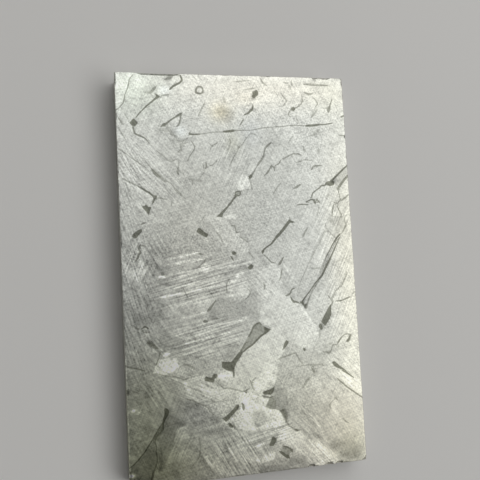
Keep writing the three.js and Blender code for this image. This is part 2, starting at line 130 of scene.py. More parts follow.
# Lamellae, seams and ticks: how dark each is, then x, y and the width at each point, in mm. A point
# without a width keeps the one before it. The points were read off the photo. Most widths and
# darknesses were then rescaled by a scratch program that compared the lines in photo and render.
darkLines = [
    {"lean": (-0.52, 0.24), "lines": [  # the family that rises to the right
        (0.4, [(-3.22, 3.98, 0.08), (-3, 4.28), (-2.85, 4.45, 0.07)]),
        (0.45, [(7.12, 13.12, 0.08), (6.9, 12.8), (6.65, 12.5, 0.07)]),
        (0.95, [(-6.34, 14.18, 0.08), (-6.08, 14, 0.14), (-6.26, 13.92, 0.19), (-6.54, 13.68, 0.14),
            (-7.09, 13.22, 0.11), (-7.63, 12.68, 0.09), (-7.95, 12.3, 0.08)]),
        (0.95, [(-5.98, 11.62, 0.13), (-5.77, 11.74, 0.25), (-5.57, 11.84, 0.15), (-5.36, 12.04, 0.11),
            (-4.86, 12.36, 0.12), (-4.5, 12.58, 0.2), (-4.38, 12.66, 0.12)]),
        (1, [(0.8, 12.62, 0.098), (1.1, 12.75, 0.139), (1.3, 12.95, 0.172), (1.45, 13.06, 0.221),
            (1.53, 13.2, 0.139), (1.56, 13.4, 0.082)]),
        (0.75, [(2.9, 10.3, 0.09), (2.66, 10.12, 0.18), (2.42, 9.9, 0.15), (2.3, 9.6, 0.09),
            (2.22, 9.2, 0.13), (1.98, 8.84, 0.17), (1.72, 8.52, 0.16), (1.62, 8.36, 0.06),
            (1.46, 8.12, 0.07), (1.26, 7.8, 0.14), (1.04, 7.54, 0.2), (0.92, 7.38, 0.16)]),
        (0.5, [(0.92, 7.34, 0.08), (1, 7.06), (1.04, 6.85), (1.12, 6.5)]),
        (0.95, [(-0.26, 5.98, 0.15), (-0.51, 5.7, 0.14), (-0.69, 5.45), (-0.98, 5.12), (-1.33, 4.76, 0.19),
            (-1.52, 4.58, 0.2), (-1.6, 4.44, 0.25), (-1.82, 4.38, 0.15)]),
        (0.95, [(-0.3, 6.28, 0.077), (0.02, 6.34, 0.088), (0.14, 6.2, 0.077), (0.05, 6, 0.088),
            (-0.2, 5.94), (-0.34, 6.1, 0.077), (-0.3, 6.28)]),
        (1, [(4.38, 3.72, 0.15), (4.1, 3.8, 0.225), (4, 3.7, 0.243), (3.6, 3.2, 0.234), (3.2, 2.8, 0.225),
            (2.9, 2.5, 0.198), (2.6, 2.15, 0.15), (2.4, 1.95, 0.12), (2.2, 1.84, 0.1), (1.9, 1.65, 0.12),
            (1.75, 1.5, 0.15), (1.7, 1.38, 0.225)]),
        (0.84, [(0.14, -5.28, 0.1), (0.34, -5.02, 0.14), (0.48, -4.76), (0.6, -4.52), (0.77, -4.37),
            (1.1, -4.25), (1.2, -4.35, 0.1)]),
        (1, [(1.7, -5.04, 0.1), (1.2, -5.27, 0.13), (0.8, -5.62), (0.4, -5.97), (0, -6.17),
            (-0.32, -6.42, 0.1)]),
        (0.6, [(-0.06, -5.72, 0.08), (-0.2, -5.86, 0.16), (-0.36, -6.1, 0.1), (-0.56, -6.36, 0.12)]),
        (1, [(-1.2, -7.95, 0.16), (-1.2, -8.22, 0.13)]),
        (1, [(-6.56, -10.6, 0.28), (-6.72, -10.95, 0.2), (-6.86, -11.3, 0.15), (-6.86, -11.7, 0.09)]),
        (0.8, [(-6.93, -11.3, 0.07), (-7.24, -11.76, 0.1), (-7.44, -12.06, 0.11), (-7.66, -12.4, 0.1),
            (-7.95, -12.76, 0.09), (-8.26, -13.2), (-8.76, -13.74), (-9.08, -14.04), (-9.42, -14.27)]),
        (0.7, [(-6.87, -11.4, 0.06), (-6.92, -11.7, 0.07), (-7.1, -11.98, 0.09), (-7.35, -12.22, 0.1),
            (-7.5, -12.45, 0.09), (-7.49, -12.76, 0.08), (-7.4, -13.02), (-7.48, -13.3, 0.07),
            (-7.4, -13.7, 0.09), (-7.41, -14.1, 0.1), (-7.56, -14.5, 0.12), (-7.74, -14.86, 0.15),
            (-7.86, -15.3, 0.19), (-7.9, -15.8, 0.18)]),
        (0.35, [(-7.1, -13.1, 0.11), (-7.06, -13.6, 0.13), (-7.1, -14.1, 0.15), (-7.2, -14.5, 0.2),
            (-7.35, -14.75, 0.11)]),
        (0.52, [(1.17, 11.03, 0.07), (0.67, 10.44), (0.49, 10.17), (0.13, 9.8), (0, 9.55), (-0.28, 9.12),
            (-0.51, 8.71), (-0.69, 8.35, 0.06)]),
        (0.55, [(-2.46, 13.48, 0.1), (-2.74, 13.03, 0.12), (-3, 12.53, 0.1)]),
        (0.72, [(0.67, 12.17, 0.12), (0.4, 11.8)]),
        (0.75, [(2.81, 8.44, 0.07), (2.7, 8.15, 0.09), (2.55, 7.95, 0.17), (2.4, 7.75, 0.13),
            (2.2, 7.6, 0.07)]),
        (0.4, [(3.26, 6.67, 0.06), (2.95, 6.26), (2.81, 6.04, 0.05)]),
        (0.8, [(3.04, 0.34, 0.2), (3.2, 0.56, 0.17), (3.38, 0.84, 0.1)]),
        (0.5, [(-3.04, 0.86, 0.15), (-3.2, 0.72, 0.1), (-3.45, 0.5, 0.08), (-3.72, 0.28, 0.06)]),
        (0.76, [(-2.34, -2.3, 0.07), (-2.6, -2.6, 0.15), (-2.8, -2.86, 0.19), (-2.96, -3.02)]),
        (0.6, [(5.62, 3.2, 0.075), (5.42, 2.92, 0.138), (5.22, 2.56, 0.175)]),
        (0.25, [(7.1, 2.9, 0.09), (6.9, 2.6, 0.07), (6.72, 2.1), (6.62, 1.8, 0.09)]),
        (0.45, [(6.12, 1.3, 0.12), (5.9, 0.9, 0.15), (5.7, 0.5, 0.12)]),
        (0.58, [(9.04, 3.3, 0.18), (8.82, 3, 0.14), (8.64, 2.7)]),
        (0.52, [(8.8, -0.6, 0.13), (8.74, -0.8, 0.16), (8.5, -1.3, 0.13), (8.3, -1.6),
            (8.06, -1.84, 0.16)]),
        (0.91, [(8.02, -5.86, 0.1), (7.86, -6.05, 0.13), (7.66, -6.28, 0.15)]),
        (0.67, [(-6.75, 14.3, 0.18), (-6.55, 14.5, 0.23), (-6.35, 14.75, 0.18)]),
        (0.31, [(-6, 14.85, 0.09), (-5.6, 14.95, 0.11), (-5.3, 15, 0.09)]),
        (0.46, [(-4.35, 10.15, 0.1), (-4.05, 10.3)]),
        (0.45, [(-4.7, 9.5, 0.08), (-4.45, 9.7)]),
        (0.36, [(-1.6, 15.2, 0.09), (-1.35, 15.6)]),
        (0.29, [(-0.8, 9.7, 0.13), (-0.55, 9.9)]),
        (0.61, [(0.1, 9.85, 0.12), (0.2, 10)]),
        (0.38, [(4.4, 10.3, 0.1), (4.6, 10.6, 0.14), (4.8, 10.8, 0.1)]),
        (0.7, [(-7.85, 3.9, 0.12), (-7.6, 4)]),
        (0.47, [(4.15, 4.1, 0.07), (4.1, 3.9)]),
        (0.46, [(6.75, 5, 0.07), (6.65, 4.6, 0.11), (6.55, 4.3, 0.07)]),
        (0.52, [(8.06, -1.84, 0.08), (7.7, -2.1, 0.11), (7.5, -2.5, 0.08)]),
        (0.95, [(8.42, 2.58, 0.14), (8.15, 2.32), (7.92, 2.02, 0.11), (7.68, 1.7, 0.1), (7.46, 1.32, 0.08),
            (7.2, 0.94, 0.07), (7, 0.55)]),
        (0.5, [(7, 0.55, 0.06), (6.83, 0.2, 0.07), (6.6, -0.2), (6.43, -0.5, 0.06)]),
        (0.95, [(8.46, 2.4, 0.05), (8.2, 2, 0.07), (7.98, 1.6, 0.1), (7.72, 1.1, 0.12), (7.48, 0.68, 0.14),
            (7.25, 0.3, 0.17), (7.02, -0.06, 0.18), (6.8, -0.45), (6.62, -0.76, 0.17), (6.3, -1.08, 0.12),
            (6, -1.35, 0.09), (5.6, -1.85, 0.08), (5.3, -2.2), (5, -2.53, 0.1), (4.72, -2.86, 0.14)]),
        (0.65, [(6.35, -1.2, 0.046), (6.05, -1.55, 0.055), (5.8, -1.88), (5.56, -2.25, 0.064),
            (5.38, -2.6, 0.083), (5.23, -2.95, 0.092), (5.09, -3.36, 0.11)]),
        (0.35, [(7.35, 3.03, 0.08), (6.72, 2.16), (6.29, 1.52), (5.68, 0.52), (5.33, -0.12), (4.81, -1.04),
            (4.46, -1.88)]),
    ]},
    {"lean": (0.28, 0.36), "lines": [  # the family that falls to the right, and the hooks
        (0.85, [(-8.2, 11.56, 0.12), (-8.17, 11.25), (-8.05, 10.98, 0.13), (-7.75, 10.85, 0.14),
            (-7.5, 10.75, 0.11), (-7.27, 10.6, 0.09), (-7.04, 10.3, 0.08)]),
        (1, [(-4.3, 15.72, 0.14), (-4.19, 15.37, 0.15), (-4.37, 15.17), (-4.68, 14.99),
            (-4.91, 14.88, 0.17), (-5.18, 14.63, 0.14)]),
        (0.68, [(-5.86, 14.08, 0.13), (-5.55, 14.13), (-5.32, 14.17, 0.1)]),
        (0.8, [(-4.42, 12.5, 0.12), (-4.45, 12.3, 0.1), (-4.53, 12, 0.12), (-4.58, 11.8),
            (-4.8, 11.6, 0.09)]),
        (0.5, [(-5.3, 11, 0.18), (-4.9, 10.8)]),
        (0.47, [(-9.24, 12.13, 0.08), (-9.04, 11.73)]),
        (0.5, [(-9.3, 11.41, 0.08), (-8.85, 10.59)]),
        (0.61, [(-9.31, 9.76, 0.07), (-9.08, 9.58), (-8.76, 9.38, 0.05), (-8.31, 8.99, 0.07),
            (-7.99, 8.79, 0.08), (-7.81, 8.63), (-7.36, 8.33, 0.05)]),
        (0.45, [(-7.63, 9.13, 0.03), (-7.4, 8.88, 0.05), (-7.09, 8.52, 0.06), (-6.88, 8.18)]),
        (0.5, [(-6.1, 7.5, 0.11), (-5.73, 7.22, 0.09), (-5.45, 7.04), (-5.09, 6.59, 0.08), (-4.82, 6.27),
            (-4.37, 5.82)]),
        (0.95, [(-8, 6.86, 0.1), (-7.54, 6.56, 0.13), (-7.18, 6.34), (-6.9, 6.1, 0.15), (-6.7, 5.97, 0.24),
            (-6.84, 5.75, 0.12), (-6.88, 5.6, 0.16), (-6.94, 5.5, 0.1)]),
        (0.6, [(-9.08, 7.45, 0.11), (-8.72, 7.22), (-8.4, 7.06), (-8, 6.88)]),
        (0.5, [(-6.7, 5.96, 0.11), (-6.18, 5.86), (-5.91, 5.8, 0.1)]),
        (0.45, [(-5.46, 5.55, 0.09), (-5.48, 5.27)]),
        (0.2, [(-8.72, 6.13, 0.04), (-8.27, 5.68)]),
        (0.78, [(-8.22, 2.2, 0.1), (-8.1, 1.86, 0.14), (-8.04, 1.7, 0.17), (-8.22, 1.5, 0.15),
            (-8.24, 1.32, 0.17), (-8.42, 1.08, 0.1)]),
        (0.34, [(-8.5, 1, 0.09), (-8.72, 0.66, 0.14)]),
        (0.75, [(-2.58, 8.76, 0.07), (-2.55, 8.44, 0.13), (-2.62, 8.21, 0.12)]),
        (0.55, [(-2.84, 8.54, 0.07), (-2.72, 7.99, 0.05), (-3.07, 7.53)]),
        (0.55, [(-2.28, 8.44, 0.08), (-2.01, 8.49, 0.09), (-1.83, 8.71, 0.08), (-1.69, 8.87, 0.07)]),
        (0.65, [(-3.64, 10.37, 0.08), (-3.41, 10, 0.1), (-3.5, 9.69, 0.09), (-3.69, 9.44),
            (-3.87, 9.22, 0.08), (-4.05, 8.81, 0.06)]),
        (0.5, [(-2.28, 10.3, 0.052), (-2.05, 10.03, 0.078), (-2.19, 9.71, 0.052)]),
        (0.7, [(-2.05, 10.03, 0.092), (-1.6, 10.26, 0.081)]),
        (0.5, [(-2.02, 3.12, 0.08), (-1.85, 2.9, 0.1), (-1.7, 2.7, 0.12), (-1.58, 2.38, 0.06)]),
        (0.6, [(-0.12, 2.66, 0.09), (0.1, 2.5, 0.11), (0.3, 2.35), (0.52, 2.22, 0.09)]),
        (0.4, [(0.56, 1.4, 0.09), (0.7, 1.2, 0.11), (0.86, 0.98, 0.1)]),
        (0.86, [(-0.9, 1.06, 0.11), (-0.8, 0.88, 0.14)]),
        (0.65, [(1.78, 1.12, 0.11), (2, 0.95, 0.09), (2.22, 0.68, 0.11), (2.4, 0.5, 0.09),
            (2.62, 0.45, 0.08)]),
        (0.71, [(3.24, -0.06, 0.08), (3.16, -0.4, 0.12), (3.1, -0.68, 0.09), (3, -0.92, 0.12)]),
        (0.66, [(1.64, -1.16, 0.11), (1.7, -1.34, 0.17), (1.68, -1.56, 0.11)]),
        (0.59, [(0.32, -1.52, 0.06), (0.5, -1.78), (0.44, -1.98, 0.09), (0.22, -2.2, 0.06),
            (0, -2.38, 0.05)]),
        (0.85, [(3.5, -2.22, 0.12), (3.66, -2.17, 0.17), (3.85, -2.03, 0.13), (3.9, -1.82, 0.1),
            (4.05, -1.7, 0.13), (4.2, -1.68, 0.08)]),
        (0.95, [(3.84, -2.4, 0.09), (3.94, -2.62, 0.15), (4.08, -2.76, 0.2), (4.3, -2.78, 0.13),
            (4.5, -2.88, 0.08)]),
        (0.65, [(7.08, -2.46, 0.1), (7.24, -2.7), (7.4, -2.94, 0.14), (7.36, -3.14)]),
        (0.85, [(7.75, -2.9, 0.1), (8.05, -2.93, 0.11), (8.35, -2.86, 0.08), (8.6, -2.76, 0.12),
            (8.92, -2.66, 0.1)]),
        (0.37, [(7.8, 0.3, 0.1), (8.3, 0.42, 0.07), (8.9, 0.6, 0.1)]),
        (0.45, [(5.9, -0.15, 0.15), (6.45, -0.14, 0.14)]),
        (0.77, [(3.17, 8.42, 0.08), (3.49, 8.56, 0.1), (3.67, 8.85, 0.08)]),
        (0.61, [(3.94, 8.99, 0.14), (4.35, 9.22), (4.8, 9.4, 0.12), (5.17, 9.38, 0.14),
            (5.39, 9.29, 0.12)]),
        (0.72, [(2.85, 8.4, 0.11), (3.06, 8.26, 0.13), (3.08, 8.08, 0.11)]),
        (0.5, [(5.67, 8.88, 0.09), (6.07, 8.85, 0.1), (6.34, 8.83, 0.09)]),
        (0.52, [(5.05, 8.67, 0.1), (5.39, 8.76, 0.13)]),
        (0.74, [(6.3, 8.08, 0.13), (6.48, 8.34, 0.15), (7.07, 8.4, 0.13)]),
        (0.75, [(4.8, 13.09, 0.07), (4.98, 13.2, 0.2), (5.26, 13.27, 0.1), (5.53, 13.45, 0.09),
            (5.75, 13.62), (5.87, 13.95, 0.08)]),
        (0.65, [(4.8, 13.09, 0.08), (4.62, 12.86, 0.11), (4.55, 12.72), (4.67, 12.52, 0.08)]),
        (0.65, [(6.89, 14.13, 0.08), (7.12, 13.82, 0.1), (7.2, 13.64), (6.97, 13.36, 0.07)]),
        (0.64, [(7.05, 13.09, 0.11), (6.84, 12.77), (6.57, 12.5, 0.09)]),
        (0.75, [(8.5, 14.05, 0.07), (8.34, 13.66, 0.11), (8.24, 13.4, 0.17), (8.15, 13.2, 0.34),
            (8.12, 13.08, 0.26)]),
        (0.7, [(6.12, 15.31, 0.12), (6.71, 15.26, 0.15), (7.7, 15.25, 0.14), (8.16, 15.26, 0.1)]),
        (0.7, [(6.16, 14.56, 0.16), (6.43, 14.45, 0.17), (6.71, 14.49, 0.12)]),
        (0.88, [(9.5, 12.66, 0.15), (9.22, 12.55, 0.13)]),
        (0.35, [(9.49, 10.84, 0.05), (9.34, 10.93), (9.04, 10.95)]),
        (0.25, [(5.17, 11.05, 0.04), (5.8, 11.18)]),
        (0.57, [(1.4, 14.82, 0.13), (1.63, 14.82)]),
        (0.95, [(9.52, 8.42, 0.107), (9, 7.98, 0.148), (8.43, 7.48), (7.92, 7.04, 0.197)]),
        (0.85, [(9.5, 7.5, 0.2), (9.24, 7.27), (8.85, 6.85), (8.62, 6.56), (8.52, 6.3, 0.08),
            (8.57, 6.09, 0.06), (8.61, 5.82), (8.66, 5.46), (8.34, 5.14)]),
        (0.76, [(9.38, 5.86, 0.12), (9.06, 5.59, 0.14), (8.8, 5.45, 0.12)]),
        (0.9, [(7.46, 6.74, 0.12), (7.02, 6.68), (6.89, 6.48), (6.71, 6.41, 0.09), (6.43, 6.2),
            (6.23, 6.05, 0.1), (6.16, 5.77, 0.09)]),
        (0.95, [(5.66, 5.37, 0.09), (5.89, 5.46, 0.1), (6.12, 5.57, 0.11), (6.32, 5.48, 0.12),
            (6.4, 5.3, 0.2)]),
        (0.85, [(6.62, 5.5, 0.14), (6.77, 5.32)]),
        (0.85, [(4.94, 5.14, 0.1), (5.3, 5.16, 0.11), (5.76, 5.14, 0.09)]),
        (0.76, [(4.71, 6.52, 0.14), (4.98, 6.66, 0.2), (5.21, 6.79, 0.14)]),
        (0.6, [(8.11, 5.27, 0.09), (8.38, 5.14)]),
        (0.75, [(8.02, 5, 0.1), (7.91, 4.64, 0.12), (7.84, 4.18, 0.1)]),
        (0.7, [(8.38, 4.91, 0.09), (8.52, 4.55, 0.1), (8.66, 4.23), (8.68, 4, 0.09)]),
        (0.37, [(8.97, 4.1, 0.05), (9.24, 4.23), (9.5, 4.1)]),
        (0.7, [(8.84, -5.76, 0.09), (8.62, -5.68, 0.1), (8.4, -5.65, 0.09), (8.2, -5.72, 0.08),
            (8, -5.88, 0.09)]),
        (0.6, [(7.5, -6.45, 0.09), (7.2, -6.44, 0.12), (7.1, -6.62, 0.09), (7.02, -6.9, 0.11),
            (6.82, -7.08, 0.19), (6.66, -7.04, 0.12)]),
        (0.45, [(4.9, -7.88, 0.12), (5.4, -7.95, 0.17), (5.95, -7.93, 0.15), (6.22, -8.02, 0.17)]),
        (0.75, [(5.3, -8.22, 0.12), (5.4, -8.46, 0.18)]),
        (0.5, [(5.05, -8.96, 0.15), (4.76, -9.15, 0.21), (4.6, -9.4, 0.18), (4.4, -9.62)]),
        (1, [(7.95, -8.6, 0.14), (8.2, -8.76, 0.13), (8.55, -9.02, 0.09), (8.8, -9.2, 0.06)]),
        (0.87, [(7.42, -9.2, 0.08), (7.6, -9.38, 0.12), (7.85, -9.62, 0.11), (8.1, -9.85, 0.12),
            (8.5, -10.18, 0.11), (8.9, -10.46, 0.1), (9.2, -10.7, 0.09), (9.46, -10.88, 0.08)]),
        (0.59, [(6.6, -11.46, 0.06), (6.6, -11.2, 0.11), (6.75, -11, 0.06), (7, -10.86, 0.04),
            (7.12, -10.72, 0.15), (7.3, -10.88, 0.06)]),
        (0.59, [(7.68, -12.48, 0.08), (7.9, -12.66, 0.11), (8.1, -12.8, 0.08)]),
        (0.46, [(-8.72, -3.84, 0.07), (-8.58, -4.04, 0.09), (-8.44, -4.16, 0.07)]),
        (0.9, [(-8.1, -4.06, 0.1), (-7.92, -3.93, 0.13), (-7.74, -4.05, 0.11)]),
        (0.61, [(-8.1, -4.3, 0.07), (-7.95, -4.37, 0.1), (-7.72, -4.37, 0.07)]),
        (0.24, [(-7.92, -4.6, 0.05), (-7.7, -4.9, 0.06), (-7.58, -5.1, 0.07)]),
        (0.45, [(-6.94, -5.9, 0.06), (-6.6, -5.96), (-6.32, -5.96)]),
        (0.7, [(-6.9, -6.05, 0.08), (-6.93, -6.25, 0.1), (-6.95, -6.45, 0.08)]),
        (0.85, [(-7.05, -6.58, 0.08), (-7.16, -6.86, 0.11)]),
        (0.65, [(-9.38, -6.84, 0.1), (-9.15, -6.95, 0.12), (-8.8, -7.03), (-8.5, -7.1),
            (-8.14, -7.25, 0.08)]),
        (0.6, [(-6.02, -7.84, 0.09), (-5.7, -7.95, 0.07)]),
        (0.57, [(-5.2, -8.2, 0.09), (-5.04, -8.2)]),
        (0.45, [(-5, -7.05, 0.15), (-4.6, -7.2, 0.18), (-4.3, -7.42, 0.15)]),
        (0.45, [(-4.5, -4.76, 0.06), (-4.2, -4.94, 0.08), (-4.08, -5.24)]),
        (0.58, [(-4.85, -1.2, 0.09), (-4.7, -1.55, 0.1), (-4.55, -1.9, 0.09)]),
        (0.4, [(-2.1, -9.06, 0.07), (-1.95, -9.15, 0.09), (-1.72, -9.12, 0.04)]),
        (0.65, [(-0.68, -9.5, 0.07), (-0.4, -9.5, 0.09), (-0.25, -9.42, 0.08), (0, -9.31, 0.06)]),
        (0.6, [(0.1, -8.7, 0.09), (0.2, -9, 0.15), (0.26, -9.3, 0.13), (0.4, -9.46, 0.09)]),
        (0.67, [(0.34, -8.7, 0.14), (0.52, -8.56)]),
        (0.5, [(2.6, -7.2, 0.09), (2.72, -7.1, 0.07), (3.02, -7.04, 0.05)]),
        (0.95, [(-0.6, -10.5, 0.18), (-0.55, -10.8, 0.2)]),
        (0.82, [(1.1, -10.06, 0.07), (1.3, -10.1, 0.08)]),
        (0.45, [(1.34, -10.8, 0.09), (1.7, -11.02, 0.06), (2.02, -11.08, 0.09), (2.3, -11.2, 0.04),
            (2.56, -11.38, 0.13), (2.78, -11.16, 0.06)]),
        (0.4, [(2.66, -11.6, 0.06), (2.8, -11.84, 0.08), (2.86, -12.2)]),
        (0.37, [(2.96, -11.5, 0.05), (3, -11.78, 0.07)]),
        (0.85, [(2.5, -14.04, 0.08), (2.8, -14.12, 0.1), (3.06, -14.3, 0.11), (3.18, -14.46, 0.2)]),
        (1, [(2.26, -14.46, 0.17), (2.46, -14.62, 0.24), (2.64, -14.8, 0.2), (2.8, -14.88, 0.31)]),
        (0.58, [(0.38, -15.62, 0.09), (0.6, -15.86, 0.11)]),
        (1, [(-1.7, -11.95, 0.25), (-1.6, -12.06)]),
        (0.73, [(-1.36, -12.08, 0.15), (-1.34, -12.22)]),
        (0.21, [(-1.2, -12.36, 0.06), (-0.98, -12.42), (-0.78, -12.56, 0.04)]),
        (0.5, [(-4.22, -12.68, 0.09), (-4.12, -12.94, 0.13)]),
        (0.35, [(-4.18, -13.84, 0.1), (-4.2, -14.06), (-4.5, -14.5, 0.06)]),
        (0.45, [(-4.75, 14.95, 0.09), (-4.7, 15.2)]),
        (0.47, [(-7.1, 14.3, 0.15), (-6.9, 14.3)]),
        (0.3, [(-8.25, 13.85, 0.12), (-8, 13.8)]),
        (0.14, [(-8.4, 13.4, 0.14), (-7.9, 13.2)]),
        (0.25, [(-6.85, 13.2, 0.09), (-6.8, 12.9, 0.13), (-6.6, 12.75, 0.09)]),
        (0.43, [(-5.5, 11.5, 0.2), (-5.3, 11.2)]),
        (0.25, [(-5, 10.7, 0.07), (-4.8, 10.4, 0.08), (-4.7, 10.3, 0.07)]),
        (0.51, [(-6.4, 9.6, 0.09), (-6.05, 9.3, 0.12), (-5.85, 9.1, 0.09)]),
        (0.3, [(-5.75, 8.9, 0.09), (-5.3, 8.95)]),
        (0.44, [(-3.4, 15.85, 0.08), (-3.1, 15.5)]),
        (0.61, [(2.35, 15.6, 0.12), (2.5, 15.35, 0.15), (2.75, 15.15, 0.12)]),
        (0.4, [(-0.75, 12.85, 0.08), (-0.5, 12.8)]),
        (0.43, [(-0.85, 13.95, 0.2), (-0.8, 13.7)]),
        (0.23, [(-2, 12.1, 0.07), (-1.7, 11.7, 0.1), (-1.45, 11.3, 0.07)]),
        (0.58, [(-0.5, 10.55, 0.12), (-0.5, 10.25)]),
        (0.43, [(3.45, 14.62, 0.08), (3.62, 14.42, 0.11), (3.7, 14.3, 0.08)]),
        (0.49, [(4.05, 14.4, 0.08), (4.35, 14, 0.1), (4.5, 13.85), (4.3, 13.6), (4.15, 13.4, 0.08)]),
        (0.48, [(4.75, 15.1, 0.13), (4.85, 14.9)]),
        (0.45, [(5, 15.5, 0.11), (5, 15.2)]),
        (0.44, [(5.8, 14.3, 0.1), (5.9, 13.95)]),
        (0.48, [(5.2, 12.6, 0.09), (5.3, 12.2, 0.11), (5.4, 12.05, 0.09)]),
        (0.56, [(5.7, 9.95, 0.1), (5.75, 9.6)]),
        (0.5, [(7.05, 9.8, 0.09), (7, 9.5)]),
        (0.5, [(-6.1, 7.4, 0.13), (-6, 7.2)]),
        (0.45, [(-5.15, 6.6, 0.14), (-4.9, 6.35, 0.19), (-4.65, 6.1, 0.14)]),
        (0.77, [(-4.9, 8.05, 0.17), (-4.85, 7.85)]),
        (0.44, [(-4.5, 8, 0.1), (-4.4, 7.75)]),
        (0.36, [(-3.35, 7.25, 0.19), (-3.1, 7.2)]),
        (0.57, [(-7.95, 2.25, 0.14), (-7.7, 2.2)]),
        (0.63, [(-3.65, 1.45, 0.12), (-3.3, 1.4)]),
        (0.45, [(0.1, 6.38, 0.03), (0.5, 6.42, 0.05), (1, 6.48, 0.03)]),
        (0.66, [(-0.75, 3.6, 0.06), (-0.5, 3.55, 0.09), (-0.45, 3.3), (-0.4, 3), (-0.1, 3.05, 0.06)]),
        (0.18, [(0.55, 2.1, 0.05), (0.55, 1.8)]),
        (0.35, [(-1.85, 1.8, 0.05), (-1.6, 1.4, 0.06), (-1.4, 1.1, 0.05)]),
        (0.14, [(0.3, 3.5, 0.04), (0.7, 3.6, 0.06), (0.9, 3.4), (1.1, 3.3, 0.04)]),
        (0.35, [(7.8, 4.1, 0.07), (8.2, 4.05, 0.09), (8.7, 4, 0.07)]),
        (0.57, [(8.9, 4, 0.09), (8.95, 3.6, 0.12), (9.05, 3.3, 0.09)]),
        (0.46, [(7.2, 3.5, 0.06), (7.2, 3.2, 0.08), (7.4, 2.95), (7.7, 2.6), (7.9, 2.4, 0.06)]),
        (0.38, [(0.1, 0.1, 0.07), (0.38, 0.12)]),
        (0.35, [(0.3, 0.1, 0.04), (-0.1, 0, 0.06), (-0.4, -0.1), (-0.7, -0.25), (-0.95, -0.5, 0.04)]),
        (0.6, [(-1.25, -0.75, 0.07), (-1.37, -0.95, 0.09), (-1.42, -1.2), (-1.42, -1.65, 0.07)]),
        (0.35, [(-2.9, -3.7, 0.1), (-2.2, -3.7)]),
        (0.35, [(1.35, -2.8, 0.04), (1.2, -3.2, 0.06), (1.1, -3.6), (1.08, -3.95, 0.04)]),
        (0.35, [(9.2, -2.4, 0.11), (9.46, -2.22)]),
        (0.52, [(6.35, -4.7, 0.1), (6.5, -4.9)]),
        (0.35, [(6.1, -5.3, 0.15), (6.1, -5.7)]),
        (0.28, [(-4.55, -1.9, 0.05), (-4.3, -2.1, 0.07), (-4, -2.25, 0.05)]),
        (0.58, [(-5, -9.65, 0.08), (-4.5, -9.8, 0.11), (-4.2, -10), (-3.6, -10.3), (-3.35, -10.5),
            (-3.2, -10.8), (-3, -11, 0.08)]),
        (0.3, [(-7.7, -8.5, 0.1), (-7.55, -8.8)]),
        (0.25, [(-6, -12.2, 0.07), (-6.1, -12.6, 0.09), (-6.2, -13), (-6.4, -13.3, 0.07)]),
        (0.45, [(-1.72, -9.12, 0.05), (-1.5, -9.15, 0.07), (-1.3, -9.25, 0.05)]),
        (1, [(-0.4, -9.5, 0.09), (-0.3, -9.6)]),
        (0.31, [(0, -9.75, 0.05), (0.4, -9.8, 0.07), (0.7, -9.9, 0.05)]),
        (0.36, [(-3.3, -10, 0.09), (-2.8, -10.1, 0.11), (-2, -10.05, 0.09)]),
        (0.75, [(1.08, -10, 0.1), (1.35, -10.1, 0.13), (1.65, -10.17, 0.1)]),
        (0.7, [(2.4, -11.2, 0.08), (2.7, -11.5, 0.11), (2.8, -11.8), (2.85, -12.3, 0.08)]),
        (0.45, [(4, -7.95, 0.06), (4.5, -7.92, 0.08), (5, -7.9, 0.06)]),
        (0.45, [(5.7, -8.3, 0.08), (5.65, -8.6)]),
        (0.55, [(-7.72, -5.15, 0.13), (-7.4, -5.36, 0.17), (-7.05, -5.64, 0.13)]),
        (0.6, [(7.4, -2.95, 0.12), (7.36, -2.7), (7.5, -2.4, 0.08)]),
        (0.5, [(6.8, -7, 0.1), (6.6, -6.98, 0.2), (6.4, -6.95, 0.1)]),
        (0.4, [(-8.75, 12.5, 0.09), (-8.6, 12.2)]),
        (0.45, [(-7.2, -7.55, 0.06), (-6.6, -7.74, 0.08), (-6.1, -7.86, 0.1), (-5.6, -7.98),
            (-5.1, -8.18, 0.09), (-4.5, -8.05, 0.06), (-3.9, -7.95, 0.05)]),
    ]},
    {"lean": (0.1, -0.15), "lines": [  # cracks that follow no crystal
        (0.84, [(-8.06, 15.71, 0.05), (-8.35, 15.31, 0.07), (-8.4, 15.03), (-8.5, 14.63),
            (-8.74, 14.08, 0.05), (-8.81, 13.68, 0.07), (-8.9, 13.4), (-9.17, 13.09, 0.05),
            (-9.44, 12.86, 0.07)]),
        (0.72, [(-6.63, 15.76, 0.08), (-5.8, 15.74, 0.09), (-5.09, 15.74, 0.08), (-4.4, 15.78, 0.06)]),
        (0.21, [(-7.67, 15.83, 0.04), (-7.45, 15.72), (-6.9, 15.76, 0.03)]),
        (0.95, [(-3.75, 11.11, 0.09), (-3.82, 10.99, 0.14), (-3.41, 10.96, 0.13), (-3, 11, 0.11)]),
        (0.55, [(-3, 11, 0.08), (-2.33, 11.08), (-2.05, 11.15), (-1.37, 11.17, 0.07), (-0.98, 11.2, 0.08)]),
        (1, [(-0.98, 11.21, 0.168), (-0.51, 11.25, 0.202), (-0.17, 11.3, 0.19)]),
        (0.66, [(-0.1, 11.3, 0.08), (0.49, 11.33, 0.06), (1.13, 11.33), (1.72, 11.42), (2.13, 11.53, 0.08),
            (2.63, 11.57), (3, 11.6, 0.06), (3.44, 11.66, 0.08), (4.03, 11.68), (4.53, 11.75),
            (5.53, 11.78), (6, 11.76)]),
        (1, [(6.05, 11.76, 0.17), (6.4, 11.78, 0.19), (6.75, 11.79), (7.14, 11.86, 0.17)]),
        (0.86, [(7.14, 11.86, 0.11), (7.7, 11.88, 0.13), (8.38, 12, 0.09)]),
        (0.85, [(-2.55, 14.72, 0.132), (-2.7, 14.88), (-2.96, 14.86), (-3.11, 14.66, 0.143),
            (-3.12, 14.4, 0.187), (-2.86, 14.29, 0.132), (-2.6, 14.36), (-2.52, 14.56, 0.11)]),
        (0.75, [(-3.29, -3.85, 0.24), (-3.18, -3.86, 0.2)]),
